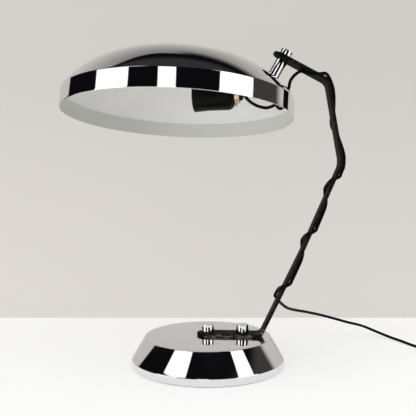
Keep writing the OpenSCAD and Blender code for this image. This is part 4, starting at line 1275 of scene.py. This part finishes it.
PLASTIC_GRAIN = (1800, 3.0)
plastic = mottled(
    "satin_plastic", (90, 3.0), (0.011, 0.011, 0.0115), (0.019, 0.019, 0.020), 3e-5,
    rough=(0.36, 0.5), gloss=PLASTIC_GRAIN, grain=PLASTIC_GRAIN,
)
half_w, half_l = SWITCH_W / 2, SWITCH_LEN / 2
upper_rows = [
    *eased_rows(half_w, half_l, half_w, SPLIT_Z + 0.0004, 0.0003, -1, 4)[::-1],
    *eased_rows(half_w, half_l, half_w, SWITCH_H - 0.0026, 0.0026, 1, 8),
    round_ring(WELL_X + 0.0009, WELL_Y + 0.0009, 0.0018, SWITCH_H),
    round_ring(WELL_X + 0.0004, WELL_Y + 0.0004, 0.0014, SWITCH_H - 0.0001),
    round_ring(WELL_X, WELL_Y, 0.0010, SWITCH_H - 0.0006),
    round_ring(WELL_X, WELL_Y, 0.0010, SPLIT_Z + 0.0001),
]
upper_grid = np.stack(upper_rows) + SWITCH_AT
upper = surface("switch_top", upper_grid, plastic, "base", "black_plastic", "switch_upper", looped=True)
lower_rows = [
    round_ring(0, 0, 0, 0),
    *eased_rows(half_w, half_l, half_w, 0.0012, 0.0012, -1, 6)[::-1],
    *eased_rows(half_w, half_l, half_w, SPLIT_Z - 0.0003, 0.0003, 1, 4),
    round_ring(WELL_X + 0.0007, WELL_Y + 0.0007, 0.0010, SPLIT_Z),
    round_ring(WELL_X + 0.0007, WELL_Y + 0.0007, 0.0010, 0.004),
    round_ring(0, 0, 0, 0.004),
]
lower_grid = np.stack(lower_rows) + SWITCH_AT
lower = surface("switch_bottom", lower_grid, plastic, "base", "black_plastic", "switch_lower")


def ribbed_spout(length, wide, narrow, bore, ribs, depth):
    """Outline of a spout from its root to its tip: the radius falls evenly and is cut by a groove
    of cosine shape between each rib and the next. The bore closes the outline."""
    t = np.linspace(0, 1, ribs * 12 + 1)
    groove = depth * (0.5 - 0.5 * np.cos(2 * math.pi * ribs * t)) ** 2
    r = wide + (narrow - wide) * t - groove
    outer = np.stack([r, t * length], -1)
    tip = [(narrow - 0.0003, length + 0.0002), (bore, length + 0.0002), (bore, 0)]
    return np.concatenate([outer, tip])


spout_outline = ribbed_spout(SPOUT_LEN - 0.0004, SPOUT_R, 0.0030, LEAD_R + RUN_FIT, 4, 0.0007)
for side_name, way in (("back", 1), ("front", -1)):
    name = "switch_spout_" + side_name
    at = SWITCH_AT + [0, way * SWITCH_LEN / 2, SPOUT_Z]
    grid = placed(turned(spout_outline, 48), at, (0, way, 0), (0, 0, 1))
    surface(name, grid, black_rubber, "base", "black_plastic", looped=True, crease=50)

ROCKER_W = 0.011
ROCKER_TILT = math.radians(7)
ROCKER_Z = SWITCH_H - 0.003
ROCKER_HALF = 0.0104


def rocker_grid():
    """A closed outline in y and z carried across x. Its last half millimetre at each side is drawn
    in by a quarter circle, and the whole is tipped about the pin."""
    outline = loop_outline(
        [
            (-ROCKER_HALF, -0.002),
            (-0.003, -0.006),
            (0.003, -0.006),
            (ROCKER_HALF, -0.002),
            (ROCKER_HALF, 0.0032),
            (0.0052, 0.0032),
            (0, 0.0042),
            (-0.0052, 0.0032),
            (-ROCKER_HALF, 0.0032),
        ],
        [0.0006, 0.0006, 0.0006, 0.0006, 0.0008, 0.006, 0.004, 0.006, 0.0008],
        6,
    )
    way = np.roll(outline, -1, 0) - np.roll(outline, 1, 0)
    way /= np.linalg.norm(way, axis=1)[:, None]
    inward = np.stack([-way[:, 1], way[:, 0]], -1)
    swing = np.radians(np.linspace(0, 90, 5))
    edge = 0.0005
    x = -ROCKER_W / 2 + edge * (1 - np.cos(swing))
    inset = edge * (1 - np.sin(swing))
    x = np.concatenate([[-ROCKER_W / 2], x, -x[::-1], [ROCKER_W / 2]])
    inset = np.concatenate([[0.004], inset, inset[::-1], [0.004]])
    flat = outline[None] + inward[None] * inset[:, None, None]
    flat[0] = outline.mean(0)
    flat[-1] = outline.mean(0)
    y, z = flat[..., 0], flat[..., 1]
    tip_y = y * math.cos(ROCKER_TILT) - z * math.sin(ROCKER_TILT)
    tip_z = y * math.sin(ROCKER_TILT) + z * math.cos(ROCKER_TILT)
    return np.stack([np.repeat(x[:, None], len(outline), 1), tip_y, tip_z], -1)


rocker_shape = rocker_grid() + SWITCH_AT + [0, 0, ROCKER_Z]
rocker = surface("rocker", rocker_shape, plastic, "rocker", "rocker_plastic", "switch_rocker")

# Plug: a flat two-pin plug moulded in black on the end of the lead, with a ribbed tapered strain
# relief. Its plated pins have black sleeves next to the body.

PLUG_AT = np.array([0.354, -0.106, 0.0069])
PLUG_LEN = 0.0353
PLUG_W = 0.026
PLUG_T = 0.0136
PLUG_RELIEF = 0.018
PIN_R = 0.002
PIN_SPAN = 0.0186
PIN_LEN = 0.019
SLEEVE_LEN = 0.0095
SLEEVE_BORE = 0.0016
SLEEVE_R = PIN_R + 0.00015
END = np.array([(303.8, -91, 4.6), (308.5, -100, 2), (318, -105, 2), (328, -106, 4.4)])
end_route = np.concatenate(
    [
        [switch_front, switch_front - [0, 0.003, 0]],
        END / 1000,
        [PLUG_AT - [PLUG_RELIEF + 0.003, 0, 0], PLUG_AT - [PLUG_RELIEF, 0, 0]],
    ]
)
end_path = spline(end_route, 8)
end_cord = surface("plug_cord", tube(end_path), lead_pvc, "base", "black_lead", "cord_end")


def plug_rings():
    """Rings from the tip of the strain relief to the plug's face. On the relief they are circles
    cut by rib grooves. Over the body's first half they swell smoothly to a rounded rectangle."""
    rings = []
    ribs = 6
    for t in np.linspace(0, 1, ribs * 10 + 1):
        groove = 0.0008 * (0.5 - 0.5 * math.cos(2 * math.pi * ribs * t)) ** 2
        r = LEAD_R + 0.0009 + 0.0014 * t - groove
        ring = round_ring(r, r, r, PLUG_RELIEF * (t - 1))
        rings.append(ring)
    root = rings[-1][0, 0]
    for t in np.linspace(0, 1, 22)[1:]:
        ease = math.sin(t * math.pi / 2) ** 0.8
        swell = t * t * (3 - 2 * t)
        half_x = root + (PLUG_W / 2 - root) * (0.55 * ease + 0.45 * swell)
        half_y = root + (PLUG_T / 2 - root) * (0.6 * ease + 0.4 * swell)
        radius = root + (0.0042 - root) * t
        rings.append(round_ring(half_x, half_y, min(radius, half_y), PLUG_LEN * 0.5 * t))
    rings += eased_rows(PLUG_W / 2, PLUG_T / 2, 0.0042, PLUG_LEN - 0.001, 0.001, 1, 5)
    rings.append(round_ring(0, 0, 0, PLUG_LEN))
    rings.insert(0, round_ring(LEAD_R, LEAD_R, LEAD_R, -PLUG_RELIEF))
    return np.stack(rings)


plug_grid = placed(plug_rings(), PLUG_AT, (1, 0, 0), (0, 1, 0))
plug = surface("plug", plug_grid, plastic, "base", "black_plastic", "plug_body", crease=50)
plated = mottled(
    "plated_pin", (400, 4.0, (0.2, 1, 1)), (0.60, 0.60, 0.60), (0.72, 0.71, 0.69), 1e-5,
    rough=(0.16, 0.34), Metallic=1.0,
)
pin_outline = rounded([(0, -0.0005), (PIN_R, -0.0005), (PIN_R, PIN_LEN), (0, PIN_LEN)], [0, 0.0012], 8)
sleeve_outline = loop_outline(
    [(SLEEVE_BORE, 0), (SLEEVE_R, 0), (SLEEVE_R, SLEEVE_LEN), (SLEEVE_BORE, SLEEVE_LEN)],
    [0.0001, 0.0001, 0.0002, 0.0001],
    4,
)
for side_name, y in (("near", -PIN_SPAN / 2), ("far", PIN_SPAN / 2)):
    root = PLUG_AT + [PLUG_LEN, y, 0]
    pin_grid = placed(turned(pin_outline, 40), root, (1, 0, 0), (0, 0, 1))
    sleeve_grid = placed(turned(sleeve_outline, 40), root, (1, 0, 0), (0, 0, 1))
    surface("pin_" + side_name, pin_grid, plated, "base", "plated_pins")
    surface("sleeve_" + side_name, sleeve_grid, plastic, "base", "black_plastic", looped=True)
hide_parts("plug_pins")
